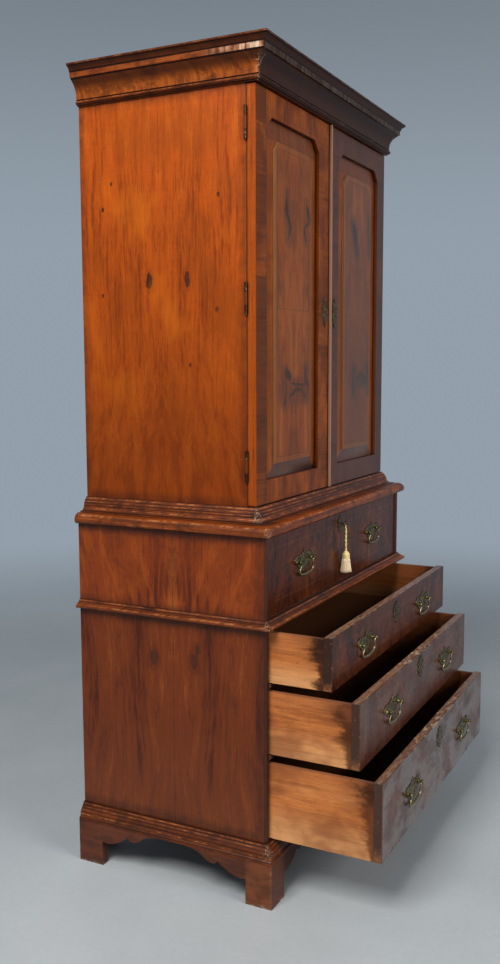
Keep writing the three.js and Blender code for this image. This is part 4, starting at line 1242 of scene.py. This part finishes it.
def tassel():
    rng = random.Random(3)
    bm = bmesh.new()
    cap = [(0, 0), (2.6, 0.2), (4.6, 2.0), (7.4, 5.2), (10.0, 8.6), (10.8, 11.0), (10.9, 13.5)]
    band = [(10.3, 14.0), (11.0, 14.8), (11.0, 16.0), (10.2, 16.6), (11.0, 17.2), (11.0, 18.6),
            (10.2, 19.2), (11.0, 19.8), (11.0, 21.4), (10.2, 22.0), (9.6, 23.0), (0, 23.0)]
    lathe(bm, cap + band, (0, KEY.y, TASSEL_TOP), (0, 0, -1), 36)
    top = finish_piece("tassel_head", bm, M["cord"])
    bm = bmesh.new()
    core = [(0, 0), (9.4, 0), (10.4, 8), (13.0, 22), (14.0, 34.5), (0, 34.5)]
    lathe(bm, core, (0, KEY.y, SKIRT_TOP), (0, 0, -1), 32)
    for row, count in ((1.0, 104), (0.93, 64)):
        for k in range(count):
            a = 2 * pi * k / count + rng.uniform(-0.02, 0.02)
            end = SKIRT_END + rng.uniform(0.0, 0.0022)
            r0, r1 = 10.4 * row, (15.7 + rng.uniform(-0.4, 0.2)) * row
            pts = []
            for i in range(7):
                t = i / 6
                r = (r0 + (r1 - r0) * t ** 1.15 + 0.25 * sin(5 * t + k)) * mm
                aa = a + 0.03 * sin(3 * t + k)
                pts.append((1.15 * r * cos(aa), KEY.y + r * sin(aa),
                            SKIRT_TOP + (end - SKIRT_TOP) * t))
            sweep(bm, pts, [0.46 * mm] * 7, 5)
    skirt = finish_piece("tassel_skirt", bm, M["skirt"])
    for o in (top, skirt):
        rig.ride(o, "key_tassel")
        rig.slot(o, "tassel_cord")
    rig.replaces(skirt, "tassel")
    return top, skirt


_head, _skirt = tassel()
_cord, _path = cord()
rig.cord(_cord, exit=_path[0], length=CORD_TOP - CORD_LOW, diameter=0.0058, far_end="fitting",
        stiffness="limp", lay="hanging", path=_path, with_pieces=[_head, _skirt])


# ---- stage and light
def room():
    """Even pale light all round, a little darker overhead."""
    world = bpy.data.worlds.new("room")
    world.use_nodes = True
    tree = world.node_tree
    coord = tree.nodes.new("ShaderNodeTexCoord")
    split = tree.nodes.new("ShaderNodeSeparateXYZ")
    tree.links.new(coord.outputs["Generated"], split.inputs[0])
    ramp = tree.nodes.new("ShaderNodeValToRGB")
    ramp.color_ramp.interpolation = "EASE"
    tree.links.new(split.outputs[2], ramp.inputs[0])
    low, high = ramp.color_ramp.elements
    low.position, high.position = 0.1, 0.42
    low.color = (*BACKDROP, 1)
    high.color = (0.165, 0.195, 0.225, 1)
    tree.links.new(ramp.outputs[0], tree.nodes["Background"].inputs[0])
    scene.world = world


def stage():
    n = Net("floor_paint")
    p = (n.x, n.y, n.z)
    a = n.noise(p, 4, 0.6, 2.0)
    b = n.noise(p, 3, 0.6, 60.0)
    n.colour = n.ramp(a * 0.7 + b * 0.3, [(0.3, (0.335, 0.365, 0.385)), (0.7, (0.405, 0.435, 0.455))])
    n.set(Base_Color=n.colour, Roughness=0.42 + a * 0.2)
    n.bump(b, 0.0006, 0.3)
    # far off, the floor melts into the backdrop
    far = n.math("SQRT", n.x * n.x + n.y * n.y)
    glow = n.new("Emission")
    glow.inputs[0].default_value = (*BACKDROP, 1)
    blend = n.new("MixShader")
    n.put(blend.inputs[0], n.step(far, 1.8, 5.0))
    n.put(blend.inputs[1], n.bsdf.outputs[0])
    n.put(blend.inputs[2], glow.outputs[0])
    n.put(n.out.inputs[0], blend.outputs[0])
    bm = bmesh.new()
    bmesh.ops.create_grid(bm, x_segments=8, y_segments=8, size=14)
    floor = finish_piece("floor", bm, n.mat, False)
    floor.location.z = -0.0002
    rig.stage(floor)
    room()
    scene.view_settings.view_transform = "Standard"


def area(name, at, look, size, power, colour=(1, 1, 1)):
    data = bpy.data.lights.new(name, "AREA")
    data.shape = "RECTANGLE"
    data.size, data.size_y = size
    data.energy = power
    data.color = colour
    o = bpy.data.objects.new(name, data)
    o.location = at
    o.rotation_euler = (Vector(look) - Vector(at)).to_track_quat("-Z", "Y").to_euler()
    scene.collection.objects.link(o)


stage()
area("key_light", (-3.3, 0.0, 4.0), (-0.4, 0.15, 1.0), (2.0, 2.0), 230, (1.0, 0.97, 0.93))
area("fill_light", (-1.4, -4.4, 2.6), (0.0, 0.0, 0.9), (2.2, 1.8), 150, (1.0, 0.96, 0.91))

lo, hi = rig.bounds()
with open("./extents.json", "w") as f:
    json.dump({"cad": [list(v) for v in cad_box], "visual": [list(lo), list(hi)]}, f)
